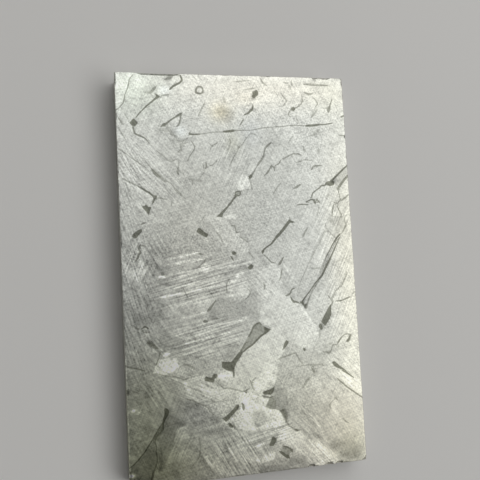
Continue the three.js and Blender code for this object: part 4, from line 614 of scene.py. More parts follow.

# The strongest single strokes of the grinding, and a painted highlight along the left rim: how much paler
# or duller, the width, then the points.
groundStrokesAndRimHighlight = [
    (0.25, 0.13, [(-6.6, -1.8), (-6, -1.72), (-5, -1.62), (-4.3, -1.5), (-3, -1.3), (-2.2, -1.1),
        (-1.5, -1)]),
    (0.2, 0.1, [(-5.6, -1.15), (-5, -1.02), (-4.5, -0.95), (-4, -0.83), (-3.4, -0.7), (-2.7, -0.55),
        (-2.2, -0.42), (-1.5, -0.28)]),
    (0.16, 0.08, [(-3, -1), (-2.3, -0.8), (-1.3, -0.62)]),
    (0.25, 0.12, [(-1.1, -0.85), (-0.62, -0.77)]),
    (0.19, 0.1, [(-1.2, -1.65), (-0.5, -1.55), (0.1, -1.5)]),
    (0.15, 0.12, [(-1.25, -2), (-0.6, -1.95), (0, -1.85)]),
    (0.21, 0.09, [(-5.4, 0.03), (-4.8, 0.12), (-4.5, 0.2), (-4, 0.3)]),
    (0.2, 0.1, [(-5.9, 0.6), (-5.6, 0.62), (-5.3, 0.7), (-4.5, 0.8), (-4, 0.88), (-3.2, 1.05)]),
    (0.22, 0.2, [(-4.95, 1.24), (-4.75, 1.32), (-4.4, 1.42)]),
    (0.15, 0.12, [(-5.8, 1.1), (-5.3, 1.2)]),
    (0.12, 0.14, [(-4.4, 1.4), (-3.8, 1.5)]),
    (0.15, 0.14, [(-5.2, -0.3), (-4.4, -0.2), (-4, -0.1)]),
    (0.2, 0.13, [(-3.8, -0.15), (-3.5, -0.02), (-3, 0.02), (-2.4, 0.15)]),
    (0.15, 0.09, [(-6, -0.07), (-5.6, -0.04)]),
    (0.2, 0.1, [(-1.9, 0.18), (-1.3, 0.3), (-0.9, 0.4), (-0.6, 0.42)]),
    (0.15, 0.08, [(-4.6, -1.47), (-4.1, -1.41)]),
    (0.12, 0.1, [(-6.6, -3.6), (-5.6, -3.6)]),
    (0.22, 0.09, [(-5.1, -3.5), (-4.5, -3.4), (-4, -3.3), (-3.1, -3.1)]),
    (0.25, 0.08, [(-4.9, -5.45), (-4.4, -5.42), (-4, -5.35), (-3.6, -5.28), (-2.6, -5.05)]),
    (0.18, 0.07, [(-3.3, -5.12), (-2.6, -4.94)]),
    (0.16, 0.08, [(-5.7, -6.4), (-5.3, -6.3), (-4.8, -6.25), (-4.2, -6.1)]),
    (0.19, 0.08, [(-5.55, -4.85), (-5.1, -4.92)]),
    (0.2, 0.1, [(-2.3, -4.25), (-1.5, -4.1), (-1, -4.05), (-0.2, -3.92)]),
    (0.19, 0.08, [(-2.05, -4.96), (-1.5, -4.88), (-1.2, -4.82)]),
    (0.12, 0.12, [(-3, -6.2), (-1.9, -6.15)]),
    (0.15, 0.1, [(-2, -3), (-1.6, -2.9)]),
    (0.15, 0.1, [(-0.4, -3.75), (0.2, -3.75)]),
    (-0.2, 0.14, [(-5.5, -1.35), (-5, -1.36)]),
    (-0.19, 0.15, [(-6.7, -0.75), (-5.9, -0.86)]),
    (-0.25, 0.09, [(-4.95, 0.48), (-4.75, 0.48)]),
    (-0.15, 0.1, [(-4, -0.95), (-3.4, -0.85)]),
    (-0.16, 0.1, [(-1.9, -0.2), (-1.3, -0.36)]),
    (-0.22, 0.09, [(-2.85, -1.74), (-2.4, -1.65), (-2, -1.5)]),
    (-0.12, 0.1, [(-1.6, 0.1), (-0.8, 0.15)]),
    (-0.12, 0.1, [(-0.3, 0.1), (0.35, 0.18)]),
    (-0.19, 0.07, [(-4.8, -5.6), (-4.3, -5.5), (-3.8, -5.43), (-2.7, -5.25)]),
    (-0.18, 0.08, [(-5.7, -4.55), (-5.3, -4.5), (-4.8, -4.4), (-4.4, -4.32)]),
    (-0.15, 0.1, [(-6.1, -5.8), (-5.5, -5.7), (-5, -5.68)]),
    (-0.2, 0.09, [(-5.2, -6.65), (-4.8, -6.65), (-3.7, -6.5)]),
    (-0.12, 0.06, [(-4.9, -6.1), (-4.2, -6)]),
    (-0.19, 0.1, [(-2.1, -4.75), (-1.2, -4.6)]),
    (-0.18, 0.16, [(-2.75, -6.05), (-2, -5.87), (-1.3, -5.8)]),
    (-0.15, 0.28, [(-2.9, -3.45), (-2.3, -3.72)]),
    (-0.18, 0.12, [(-7.45, 2.05), (-7.2, 1.5), (-7.05, 1.2)]),
    (-0.28, 0.14, [(-6.85, 0.6), (-6.65, 0.2), (-6.35, -0.1)]),
    (-0.22, 0.12, [(-7.1, 1.2), (-6.8, 0.5)]),
    (0.15, 0.1, [(-6.7, 1.2), (-6.4, 0.6)]),
    (0.15, 0.08, [(-6.7, 0.3), (-6.5, -0.05)]),
    (0.15, 0.1, [(-7.4, 2.4), (-7.2, 1.8)]),
    (-0.1, 0.3, [(-4.8, 10.6), (-3.4, 10.6)]),
    (0.1, 0.08, [(-5.9, 13.5), (-5.3, 12.7), (-5.1, 12.4)]),
    (0.1, 0.08, [(-5.65, 13.6), (-5.05, 12.8)]),
    (0.1, 0.08, [(-6.15, 13.4), (-5.5, 12.5)]),
    (-0.12, 0.06, [(0.1, 14.8), (0.35, 14.4), (0.5, 14.2)]),
    (-0.12, 0.06, [(0.23, 14.82), (0.48, 14.42)]),
    (-0.12, 0.06, [(-0.03, 14.78), (0.22, 14.38)]),
    (-0.1, 0.07, [(5, 11.1), (6.2, 11.3), (6.6, 11.4)]),
    (-0.12, 0.07, [(7.9, 11.2), (8.9, 11.35)]),
    (0.1, 0.1, [(3.2, 11.35), (3.8, 11.5)]),
    (0.1, 0.1, [(4.6, 11.35), (5.1, 11.35)]),
    (-0.2, 0.12, [(-6.9, 2.2), (-6.65, 1.8), (-6.55, 1.5)]),
    (-0.25, 0.12, [(-6.9, 2.65), (-6.75, 2.5)]),
    (0.2, 0.18, [(-5.1, 1.2), (-4.9, 1.3)]),
    (0.2, 0.16, [(-3.9, 1.5), (-3.4, 1.45)]),
    (0.3, 0.1, [(-5.3, 0.75), (-4.9, 0.75)]),
    (0.18, 0.12, [(3.35, 0.3), (3.8, -0.3), (4.2, -0.95)]),
    (0.6, 0.12, [(-6.75, -0.25), (-6.5, -0.2), (-6.15, -0.27)]),
    (0.4, 0.1, [(-7.75, -0.7), (-7.65, -0.95)]),
    (-0.28, 0.12, [(-7.95, -1.6), (-7.8, -2), (-7.6, -2.5)]),
    (-0.15, 0.1, [(-7.65, -1.5), (-7.35, -2.2)]),
    (0.18, 0.1, [(-8, -4.55), (-7.8, -4.6), (-7.65, -4.75)]),
    (0.18, 0.1, [(-6.85, -5.7), (-6.6, -5.85)]),
    (-0.2, 0.1, [(-5.8, -2.45), (-5.5, -2.7), (-5.1, -2.95), (-4.7, -3.2), (-4.5, -3.3)]),
    (-0.2, 0.1, [(-5, -1.3), (-4.9, -1.1)]),
    (0.15, 0.09, [(-4.9, -1.35), (-4.3, -1.3), (-3.5, -1.15)]),
    (0.25, 0.12, [(-3, -1.25), (-2.6, -1.2)]),
    (-0.12, 0.1, [(-4.2, -3.6), (-3, -3.5)]),
    (0.22, 0.22, [(-0.5, -0.3), (-0.45, -0.7)]),
    (0.16, 0.1, [(-3.2, -4.3), (-2.3, -4.25)]),
    (0.15, 0.1, [(-2.9, -0.95), (-1.2, -0.85)]),
    (-0.18, 0.1, [(-2.8, -1.5), (-2.6, -1.9)]),
    (-0.2, 0.1, [(-3.4, -5.3), (-2.6, -5.2), (-2, -5.05)]),
    (-0.12, 0.12, [(-2.5, -5.4), (-3, -5.9)]),
    (0.14, 0.07, [(0.15, -4.1), (0.5, -4.6)]),
    (0.14, 0.07, [(0.45, -4.05), (0.75, -4.4)]),
    (0.12, 0.09, [(5, -3.6), (5.3, -4.15), (5.7, -4.75), (5.9, -5)]),
    (0.25, 0.12, [(-6.1, -8), (-5.85, -8.1), (-5.6, -8.15)]),
    (0.2, 0.12, [(-5.1, -8.4), (-4.95, -8.8), (-4.75, -9.2), (-4.65, -9.4)]),
    (0.15, 0.1, [(-3.6, -10.4), (-3.3, -10.6), (-3.1, -10.9)]),
    (0.13, 0.1, [(-4.3, -7.95), (-4, -8.3)]),
    (0.13, 0.1, [(-3.8, -8), (-3.5, -8.4)]),
    (0.13, 0.1, [(-3.9, -8.9), (-3.5, -9.4)]),
    (0.13, 0.1, [(-3.7, -8.9), (-3.1, -9.6)]),
    (-0.12, 0.3, [(-7.7, -8.3), (-8.1, -9.4)]),
    (-0.12, 0.2, [(-6, -11.3), (-5.3, -11.6)]),
    (0.2, 0.15, [(-5.9, -12.1), (-5.6, -11.85), (-5.3, -11.75), (-5.1, -11.8), (-5.05, -12)]),
    (0.1, 0.1, [(-5.8, -13.5), (-5.5, -14), (-5.2, -14.6)]),
    (0.1, 0.1, [(-5.5, -13.4), (-5, -14)]),
    (0.16, 0.15, [(-2.5, -8.1), (-1.4, -8.2)]),
    (-0.14, 0.15, [(-3, -12.5), (-2, -12.2)]),
    (0.17, 0.1, [(0.3, -12.85), (1.2, -12.6), (2, -12.5)]),
    (0.22, 0.14, [(0.3, -13.9), (0.9, -13.6), (1.4, -13.4)]),
    (0.17, 0.12, [(2.2, -13.3), (2.9, -13)]),
    (0.22, 0.12, [(2.3, -12.9), (3.2, -12.65)]),
    (-0.17, 0.1, [(0.2, -13.6), (1, -13.35)]),
    (-0.14, 0.1, [(0.1, -12.8), (0.9, -12.75)]),
    (0.1, 0.3, [(-3, -15), (-2.4, -15.6)]),
    (-0.14, 0.1, [(2, -14.9), (2.9, -15.8)]),
    (-0.14, 0.1, [(2.4, -14.9), (3.3, -15.8)]),
    (0.17, 0.1, [(3.4, -9.5), (3.5, -9.8), (3.65, -9.95)]),
    (0.14, 0.1, [(5.8, -9.8), (5.9, -10.4)]),
    (-0.18, 0.1, [(3.2, -12.2), (3.6, -12.8)]),
    (-0.25, 0.1, [(4.2, -11.4), (4.5, -11.85)]),
    (-0.25, 0.1, [(5, -13.3), (5.3, -13.7)]),
    (-0.18, 0.1, [(5.3, -13.3), (5.8, -14)]),
    (-0.18, 0.1, [(5.5, -12.3), (5.7, -12.7)]),
    (0.14, 0.1, [(4.8, -11.7), (5.3, -12.4), (5.8, -13.2), (6, -13.7)]),
    (0.14, 0.09, [(5.2, -12.1), (5.7, -12.9)]),
    (0.12, 0.1, [(4.2, -12.1), (4.5, -12.5)]),
    (0.07, 0.2, [(7, -13.9), (8, -13.5), (9.2, -13.3)]),
    (0.06, 0.4, [(5.4, -14.15), (6.6, -15.3)]),
    (-0.14, 0.1, [(4.3, -13.5), (5.1, -14.8)]),
    (0.14, 0.1, [(4.6, -13.7), (5.5, -15.2)]),
    (-0.14, 0.1, [(5, -13.9), (5.9, -15.4)]),
    (0.08, 0.1, [(5.5, -14), (6.4, -15.5)]),
    (-0.14, 0.1, [(6.1, -14.5), (6.9, -15.7)]),
    # a painted highlight, not a stroke of the grinding: the bright line along the left rim
    (0.3, 0.08, [(-9.46, -6), (-9.46, -10), (-9.46, -14.6)]),
    (0.25, 0.1, [(5, -3), (5.25, -2.5), (5.6, -1.95), (5.95, -1.45)]),
    (0.15, 0.1, [(-7.05, -1.87), (-6.2, -1.75), (-5, -1.57)]),
    (0.3, 0.08, [(-2.1, -11.6), (-1.7, -12.05), (-1.3, -12.5), (-1, -12.9)]),
    (0.28, 0.07, [(-5.6, -7), (-4.9, -8.1)]),
    (0.22, 0.1, [(-6.29, 1), (-5.02, 1.29), (-3.49, 1.53)]),
    (0.22, 0.1, [(-6.3, 0.63), (-4.91, 0.89), (-3.06, 1.01)]),
    (0.12, 0.1, [(-5.96, -0.1), (-3.55, 0.22), (-2.12, 0.51)]),
    (-0.1, 0.25, [(-4.78, -12.29), (-3.4, -12.28), (-2.25, -12.1)]),
    (0.08, 0.15, [(-3.89, -12.08), (-2.36, -11.72)]),
    (0.2, 0.12, [(-0.86, -13.39), (0.98, -13.09), (2.72, -12.79)]),
    (0.15, 0.12, [(-0.24, -13.88), (1.08, -13.65)]),
    (0.15, 0.12, [(2.08, -13.52), (3.36, -13.32)]),
    (-0.15, 0.12, [(-0.87, -13.66), (0.7, -13.37)]),
    (-0.12, 0.12, [(-0.18, -12.9), (1.4, -12.65), (2.74, -12.46)]),
    (-0.14, 0.12, [(0.44, -13.34), (2.31, -13.02)]),
]

# Seeded strokes between them, family by family: the direction in degrees, how much it varies, the
# longest stroke in mm, how many for the whole face, and how strong where no patch asks for more.
strokeFamilies = {
    "rising": (12, 3, 5.5, 800, 0.2),
    "steep": (-60, 4, 3.0, 900, 0.25),
    "upright": (64, 5, 2.0, 600, 0.25),
    "falling": (-28, 4, 3.5, 400, 0.2),
    "plumb": (-74, 4, 3.0, 500, 0.0),
    "slant": (-47, 4, 3.0, 600, 0.1),
}

# Tints on the metal, a painted warm reflection where they warm the right and top edges: centre x, y,
# reach across and along, and the share of red and blue they add.
tintsWithPaintedReflection = [
    (-8, 14.5, 2.2, 2, -0.04, -0.04), (2.5, 14.8, 8, 1.8, 0.04, -0.05), (-1.2, 12.8, 0.9, 0.8, 0.06, -0.13),
    (0.9, 13.9, 0.9, 0.6, 0.02, -0.03), (-0.3, 10.3, 0.6, 0.9, 0, -0.05),
    (1.3, 11.2, 0.8, 1.2, -0.01, 0.03), (-4, 1, 4, 7, 0.015, -0.03), (9.2, 0, 1.8, 10, 0.035, -0.075),
    (-5.65, 14.55, 0.5, 0.45, -0.02, 0.04), (-4.5, 11.2, 0.5, 0.45, -0.02, 0.04),
    (0, -10.5, 12, 5.5, 0.01, -0.07), (-8.3, -12, 3, 5.5, -0.015, -0.13), (7.5, -13, 4, 4, 0.05, -0.05),
    (0, -15.6, 8, 1.8, 0.03, -0.04), (-4.6, -10.9, 1.8, 1.2, 0, 0.04), (-7, -15, 4, 2.2, 0, -0.12),
    (8.5, -14.8, 2, 2, 0, -0.06), (8.5, 14.5, 2, 2, 0, -0.03),
]

# Slow differences in how the metal took the polish, and the part of the photo's fall of light that the
# lamps don't give: centre x, y, reach across and along, tone.
slowTones = [
    (0, 14.6, 14, 2.4, 0.09), (-8.8, 14.8, 1.6, 2, 0.07), (2, 5.5, 6, 6.5, -0.07), (2, 10.7, 3, 1.6, -0.03),
    (9.2, -6.5, 1.8, 7, 0.11), (-9, -13.5, 2.6, 3.5, -0.15), (-8.4, 7.4, 2.2, 4.6, 0.11),
    (3.5, -10.2, 6, 4.2, 0.06), (-0.6, -13.9, 3.4, 1.8, 0.06), (1.4, -7.6, 1.6, 1.8, 0.04),
    (8.2, 2, 2.2, 16, 0.035), (-4.6, -6.2, 1.6, 2.2, 0.04), (-1.5, -9.2, 1.5, 2.5, 0.03),
    (1.5, 14.1, 2.2, 1.6, 0.02), (-3, 1.6, 3.2, 1.6, -0.03), (-4.7, -10.6, 1.5, 1.3, -0.03),
    (-8.4, 0.2, 1.4, 3, 0.03), (-4.6, -7.7, 1.4, 1, 0.03), (4.6, -1.5, 1.4, 1.5, -0.02),
    (-4.6, -13.9, 1.4, 1.4, -0.03), (8, 10.9, 1.6, 1.4, 0.02),
]

# Small clouds of tone on the face: centre x, y, reach across and along, tone. Most were set
# where a measured difference between photo and render was left.
# Among them, the thin bright strips hugging the left, right and top edges are a painted highlight on the
# rim, and the strong bright spots by the left edge near x -9, y -10 and y -14.9 are painted glints.
softPatches = [
    (-5.65, 14.55, 0.4, 0.36, 0.09), (-4.5, 11.2, 0.4, 0.36, 0.08), (3.3, 10.3, 0.5, 0.4, -0.1),
    (-4.4, -2.45, 1.3, 0.5, 0.07), (-5.2, -4.55, 0.6, 0.35, 0.06), (-2.75, -2.3, 0.7, 0.35, 0.07),
    (-1.35, -5.4, 1, 0.3, 0.05), (-1.6, -6.75, 0.6, 0.3, -0.08), (3.2, -1.6, 0.4, 0.4, -0.08),
    (-8.35, -3.45, 0.4, 0.5, -0.16), (-7.1, -3.2, 0.9, 0.35, -0.08), (-6.6, -2.25, 0.35, 0.3, -0.08),
    (-7.8, -6.65, 0.45, 0.4, -0.08), (-7.25, -5.86, 0.16, 0.14, 0.15), (-5.1, -8.45, 0.9, 0.45, 0.05),
    (-9, -10.15, 0.14, 0.13, 0.7), (-8.65, -10.35, 0.11, 0.11, 0.45), (-9.35, -14.9, 0.24, 0.14, 1.2),
    (-5.2, -12.45, 0.22, 0.22, 0.15), (-6, -14, 0.45, 1.1, -0.1), (-2.6, -14.3, 0.16, 0.16, 0.12),
    (-3.2, -15.4, 0.4, 0.3, -0.12), (-2.65, -11.4, 0.4, 0.45, -0.12), (6.55, -9.95, 0.4, 0.7, -0.06),
    (6.4, -11.6, 0.35, 0.45, -0.1), (6.6, -14.55, 0.45, 0.3, -0.1), (7.4, -14.35, 0.4, 0.16, -0.1),
    (8.1, -15.25, 1.2, 0.45, -0.12), (3.8, -15.4, 0.8, 0.5, -0.02), (9.35, -15.5, 0.3, 0.4, 0.05),
    (-6.65, 0.65, 0.4, 0.3, -0.1), (-5.8, 2.1, 1.5, 0.9, -0.04), (-8.65, 6.35, 0.6, 0.6, -0.09),
    (7.5, -6.7, 1.4, 0.4, -0.05), (7.3, 11.45, 1.6, 0.25, -0.03), (-2.8, -9.3, 0.7, 0.4, 0.09),
    (-5, -9.2, 0.3, 0.3, 0.05), (-7.8, 15.05, 0.8, 0.5, 0.14), (-3.2, -4.95, 1.2, 0.7, 0.09),
    (-3.7, 0.3, 1, 0.5, -0.09), (-2.9, -1.5, 0.5, 0.3, 0.08), (-0.6, -10.3, 0.7, 0.8, 0.12),
    (0.36, -9.5, 0.3, 0.3, 0.16), (-1.4, -0.4, 0.7, 0.4, -0.12), (5.2, 12.8, 0.6, 0.5, -0.05),
    (-8.9, 1.1, 0.4, 0.9, 0.17), (-3.5, -2.4, 0.8, 0.4, 0.09), (1.8, -12.6, 0.6, 0.4, 0.13),
    (4.4, -14.1, 0.6, 0.5, -0.13), (-8.5, -13.15, 0.9, 0.9, 0.1), (-5.9, -14.5, 0.7, 0.7, -0.08),
    (-0.3, -4.55, 0.6, 0.5, -0.05), (-3.4, 13, 0.6, 0.5, 0.06), (2, -14.85, 0.5, 0.4, -0.08),
    (2.35, 2.7, 0.7, 0.6, 0.05), (-2.4, -14.4, 0.4, 0.4, 0.08), (-6.4, 4, 0.8, 0.7, 0.045),
    (-8.15, 10.6, 0.6, 0.5, 0.05), (4.1, -8, 0.8, 0.8, 0.04), (6.4, -0.62, 0.3, 0.45, -0.09),
    (7.2, -0.3, 0.2, 0.3, -0.08), (1.68, 13.97, 0.22, 0.16, -0.16), (8.2, 3.55, 0.35, 0.5, 0.08),
    (-1.05, -14.1, 0.4, 0.3, -0.1), (1.5, -9, 0.35, 0.3, 0.07), (-9.3, 12.5, 0.25, 1, 0.06),
    (-9.25, 15.2, 0.4, 0.6, 0.07), (-9.2, -2, 0.35, 1.1, 0.06), (-9.4, -7.8, 0.2, 2.2, -0.11),
    (-9, -12.1, 0.5, 0.8, 0.1), (-8.4, -14.1, 0.4, 0.6, 0.07), (9.4, 9.5, 0.3, 3.6, 0.06),
    (9.4, 3.8, 0.3, 3.2, 0.06), (8.6, -15.6, 0.6, 0.3, -0.06), (-6.6, -15.3, 1.5, 0.4, -0.11),
    (-4.2, -15.7, 0.9, 0.3, -0.09), (3.4, -15.75, 0.8, 0.25, 0.13), (6, -15.75, 0.4, 0.25, -0.1),
    (2.5, -15.2, 0.7, 0.3, -0.06), (0, 15.75, 9.5, 0.25, 0.05), (-4, 15.3, 0.8, 0.5, 0.04),
    (6.1, -1.5, 0.7, 0.6, -0.07), (-5.9, 0.3, 0.8, 0.5, -0.08), (7.5, 0.3, 0.5, 0.7, -0.07),
    (-1.25, -6.4, 0.45, 0.4, -0.1), (2.9, -2.8, 0.6, 0.5, -0.05), (-5.6, -2.5, 0.7, 0.5, 0.09),
    (-4.15, -6.95, 0.6, 0.5, 0.08), (4.2, -15.05, 0.35, 0.3, -0.12), (-8.3, 8, 0.35, 0.3, 0.12),
    (1.5, 14.15, 0.25, 0.2, -0.12), (-3.45, -5.65, 0.4, 0.25, 0.11), (5.05, 1, 0.35, 0.3, 0.1),
    (5.15, -2.8, 0.3, 0.3, -0.1), (-2.15, -5.45, 0.35, 0.25, 0.1), (-4.2, 14.4, 0.3, 0.3, 0.1),
    (-4.25, 1.75, 0.35, 0.3, -0.09), (1.35, -0.9, 0.3, 0.3, -0.1), (2.1, -8.25, 0.3, 0.3, -0.1),
    (7.15, 11.25, 0.35, 0.25, -0.08), (-4.65, -7.25, 0.3, 0.3, 0.06), (2.9, -12.65, 0.3, 0.3, 0.07),
    (0.4, -4.2, 0.3, 0.3, -0.1), (1.55, 12.6, 0.25, 0.25, 0.08), (-6.85, 15.3, 0.3, 0.25, 0.06),
    (-4.65, -5.05, 0.3, 0.25, 0.07), (4.55, -11.25, 0.3, 0.3, 0.09), (-2.55, -7.7, 0.25, 0.25, 0.09),
    (-6.2, -2.95, 0.35, 0.3, 0.08), (-2.35, -14.3, 0.25, 0.25, 0.1), (-3.9, -3.85, 0.3, 0.25, -0.1),
    (7.85, 4.5, 0.25, 0.35, 0.1), (-4.45, 10.2, 0.3, 0.25, 0.08), (-3.15, -4.5, 0.35, 0.25, 0.09),
    (8.65, -2.1, 0.3, 0.35, -0.09), (-7.45, 6.8, 0.3, 0.2, 0.1), (5.4, 3.6, 0.35, 0.35, 0.08),
    (8.75, 9.5, 0.35, 0.35, 0.08), (-1.65, -3.95, 0.35, 0.3, -0.09), (4.4, -7.75, 0.35, 0.35, 0.08),
    (-0.95, 10.5, 0.35, 0.3, 0.08),
]


# Rises smoothly from 0 to 1 as the value goes from low to high.
def smoothStep(value, low, high):
    part = np.clip((value - low) / (high - low), 0.0, 1.0)
    return part * part * (3.0 - 2.0 * part)


noiseWaves = 9
noiseRates = (0.6, 1.7)  # how far the waves' rates stray from the one asked for


# Smooth noise in the plane: sines of seeded directions and phases, added up, about -1 to 1.
def softNoise(x, y, wavelength, seed):
    rng = np.random.default_rng(seed)
    angles = rng.uniform(0.0, 2.0 * math.pi, noiseWaves)
    rates = 2.0 * math.pi / wavelength * rng.uniform(*noiseRates, noiseWaves)
    phases = rng.uniform(0.0, 2.0 * math.pi, noiseWaves)
    total = np.zeros_like(x)
    for angle, rate, phase in zip(angles, rates, phases):
        total += np.sin(rate * (x * math.cos(angle) + y * math.sin(angle)) + phase)
    return total / math.sqrt(noiseWaves)


# Signed distance to a closed outline, negative inside: the least distance to its edges, with the
# sign from counting how many edges a ray to the right crosses.
def outlineDistance(x, y, outline):
    nearest = np.full(x.shape, farAway)
    inside = np.zeros(x.shape, bool)
    for (ax, ay), (bx, by) in zip(outline, outline[1:] + outline[:1]):
        runX, runY = bx - ax, by - ay
        along = np.clip(((x - ax) * runX + (y - ay) * runY) / (runX * runX + runY * runY), 0.0, 1.0)
        nearest = np.minimum(nearest, np.hypot(x - ax - along * runX, y - ay - along * runY))
        if ay != by:
            crossing = (ay > y) != (by > y)
            inside ^= crossing & (x < ax + (y - ay) * runX / runY)
    return np.where(inside, -nearest, nearest)


# The least signed distance to all outlines of a list of groups, each seen where its lean brings it.
def bodiesDistance(x, y, depth, groups):
    nearest = np.full(x.shape, farAway)
    for group in groups:
        leanX, leanY = group["lean"]
        for outline in group["outlines"].values():
            nearest = np.minimum(nearest, outlineDistance(x + leanX * depth, y + leanY * depth, outline))
    return nearest


# A line's points, each with its width: the one before it where none is given.
def withWidths(points):
    full = []
    for x, y, *given in points:
        width = given[0] if given else full[-1][2]
        full.append((x, y, width))
    return full


# For each point, the line nearest to it less its half width: the signed distance to its middle,
# the plain distance, its half width there and how dark it is.
def nearestLine(x, y, depth, groups):
    gap, side, reach = (np.full(x.shape, farAway) for _ in range(3))
    half, tone = np.zeros(x.shape), np.zeros(x.shape)
    for group in groups:
        px, py = x + group["lean"][0] * depth, y + group["lean"][1] * depth
        for darkness, traced in group["lines"]:
            points = withWidths(traced)
            for (ax, ay, aw), (bx, by, bw) in zip(points, points[1:]):
                runX, runY = bx - ax, by - ay
                along = np.clip(((px - ax) * runX + (py - ay) * runY) / (runX ** 2 + runY ** 2), 0.0, 1.0)
                away = np.hypot(px - ax - along * runX, py - ay - along * runY)
                width = (aw + (bw - aw) * along) / 2.0
                closer = away - width < gap
                gap = np.where(closer, away - width, gap)
                turn = np.sign(runX * (py - ay) - runY * (px - ax))
                side = np.where(closer, turn * away, side)
                reach = np.where(closer, away, reach)
                half = np.where(closer, width, half)
                tone = np.where(closer, darkness, tone)
    return side, reach, half, tone


# Adds up patches that are full in their middle and fade to nothing like a bell.
def bells(x, y, patches, column):
    total = np.zeros(x.shape)
    for patch in patches:
        reach = ((x - patch[0]) / patch[2]) ** 2 + ((y - patch[1]) / patch[3]) ** 2
        total += patch[column] * np.exp(-reach)
    return total


# The darkest blot at each point: full in its middle, fading over its border.
def blotDarkness(x, y):
    dark = np.zeros(x.shape)
    begin, end = blotFade
    for blotX, blotY, radius, darkness in blots:
        shown = 1.0 - smoothStep(np.hypot(x - blotX, y - blotY), radius * begin, radius * end)
        dark = np.maximum(dark, darkness * shown)
    return dark


# Adds up the slow tones, differences in polish with painted light and shade, the soft patches, clouds of
# tone with a painted rim highlight and glints, and the crystals' tones, each crystal full inside its
# outline and fading over its own border width. The soft patches belong to the face and stop at its rim.
def faceToneWithPaintedLight(x, y, depth):
    total = bells(x, y, slowTones, 4) + bells(x, y, softPatches, 4) * (depth < slab["rim"])
    px, py = x + crystalLean[0] * depth, y + crystalLean[1] * depth
    for tone, border, outline in crystals:
        total += tone * smoothStep(-outlineDistance(px, py, outline), -border, border)
    return total


# How a stroke is drawn and how the seeded ones vary, in mm.
strokeShape = {
    "margin": 0.3,         # the cells nearer than this are touched
    "taper": (0.1, 0.15),  # its ends fade from so far outside to so far inside
    "bell": 0.6,           # reach of the bell across it, as a share of the width
    "seed": 77,
    "shortest": 0.2,       # as a share of the family's longest stroke
    "tone": (0.01, 0.07),  # mean and spread
    "width": (0.07, 0.14),
}


# Adds strokes to a tone laid out on the face's grid. Each stroke is a bell across its width that
# tapers at both ends; only the grid's cells near it are touched.
def addStrokes(total, gridX, gridY, strokes):
    lineX, lineY = gridX[0], gridY[:, 0]
    margin, (outer, inner) = strokeShape["margin"], strokeShape["taper"]
    for tone, width, (ax, ay), (bx, by) in strokes:
        left, right = np.searchsorted(lineX, [min(ax, bx) - margin, max(ax, bx) + margin])
        low, high = np.searchsorted(lineY, [min(ay, by) - margin, max(ay, by) + margin])
        if left == right or low == high:
            continue
        x, y = gridX[low:high, left:right], gridY[low:high, left:right]
        runX, runY = bx - ax, by - ay
        length = math.hypot(runX, runY)
        along = ((x - ax) * runX + (y - ay) * runY) / length
        across = ((y - ay) * runX - (x - ax) * runY) / length
        taper = smoothStep(along, -outer, inner)
        taper = taper * (1.0 - smoothStep(along, length - inner, length + outer))
        bell = np.exp(-(across / (strokeShape["bell"] * width)) ** 2)
        total[low:high, left:right] += tone * bell * taper


# Seeded strokes of every family, kept where its patches are strong.
def seededStrokes(halfWidth, halfLength):
    rng = np.random.default_rng(strokeShape["seed"])
    strokes = []
    for name, (direction, spread, longest, count, base) in strokeFamilies.items():
        x = rng.uniform(-halfWidth, halfWidth, count)
        y = rng.uniform(-halfLength, halfLength, count)
        angle = np.radians(rng.normal(direction, spread, count))
        length = longest * rng.uniform(strokeShape["shortest"], 1.0, count) ** 2
        strength = np.maximum(scratchAmount(x, y, scratchPatches[name]), base)
        tone = rng.normal(*strokeShape["tone"], count) * strength
        width = rng.uniform(*strokeShape["width"], count)
        runX, runY = np.cos(angle) * length / 2, np.sin(angle) * length / 2
        strokes += list(zip(tone, width, zip(x - runX, y - runY), zip(x + runX, y + runY)))
    return strokes


# How strongly each set of scratches shows: turned ellipses that fade outwards, the strongest winning.
def scratchAmount(x, y, patches):
    amount = np.zeros(x.shape)
    for centreX, centreY, reachX, reachY, turn, strength in patches:
        cosine, sine = math.cos(math.radians(turn)), math.sin(math.radians(turn))
        u = ((x - centreX) * cosine + (y - centreY) * sine) / reachX
        v = ((y - centreY) * cosine - (x - centreX) * sine) / reachY
        amount = np.maximum(amount, strength * (1.0 - smoothStep(np.hypot(u, v), *patchFade)))
    return amount


# The slice as a slab: what its own metal does. Lengths in mm.
slab = {
    "acrossCells": 192,      # cells across the etched face, about 0.1 mm each
    "alongCells": 322,       # cells along it
    "rim": 0.03,             # width of the deburred edge
    "rimProfile": [(0.028, 0.001), (0.024, 0.004), (0.014, 0.014), (0.003, 0.025), (0.0, 0.031)],
    "creaseCell": 0.012,     # a narrow cell beside the rim keeps its crease crisp
    "wallRows": 7,           # rows down the sawn side
    "cornerPull": 0.3,       # how much the corners are rounded
    "cornerReach": 0.35,
    "etchDepth": 0.008,      # how far the acid sank the inclusions
    "fieldShare": 0.5,       # the duller bodies and blots are sunk by this share of it
    "etchEdge": 0.06,        # half the width over which a body's floor falls
    "seamDepth": 0.006,
    "seamEdge": (0.05, 0.08),  # how far out a seam begins to fall, and over what width
    "waver": [(0.18, 2.3, 11), (0.12, 0.5, 12)],  # the rim's waver: share, wavelength and seed
    "biteFade": (0.8, 1.15),   # shares of a bite's reach where it begins and ends to fade
    "sawWave": 0.012,        # how far the saw wandered on the sides
    "sawLength": 1.6,        # wavelength of its wandering along the edge
    "sawSeed": 21,
    "sawStretch": 3.0,       # how much shorter the waves are down the side
    "sawSwing": 0.6,         # how much they vary
    "sawLimit": 0.02,
}

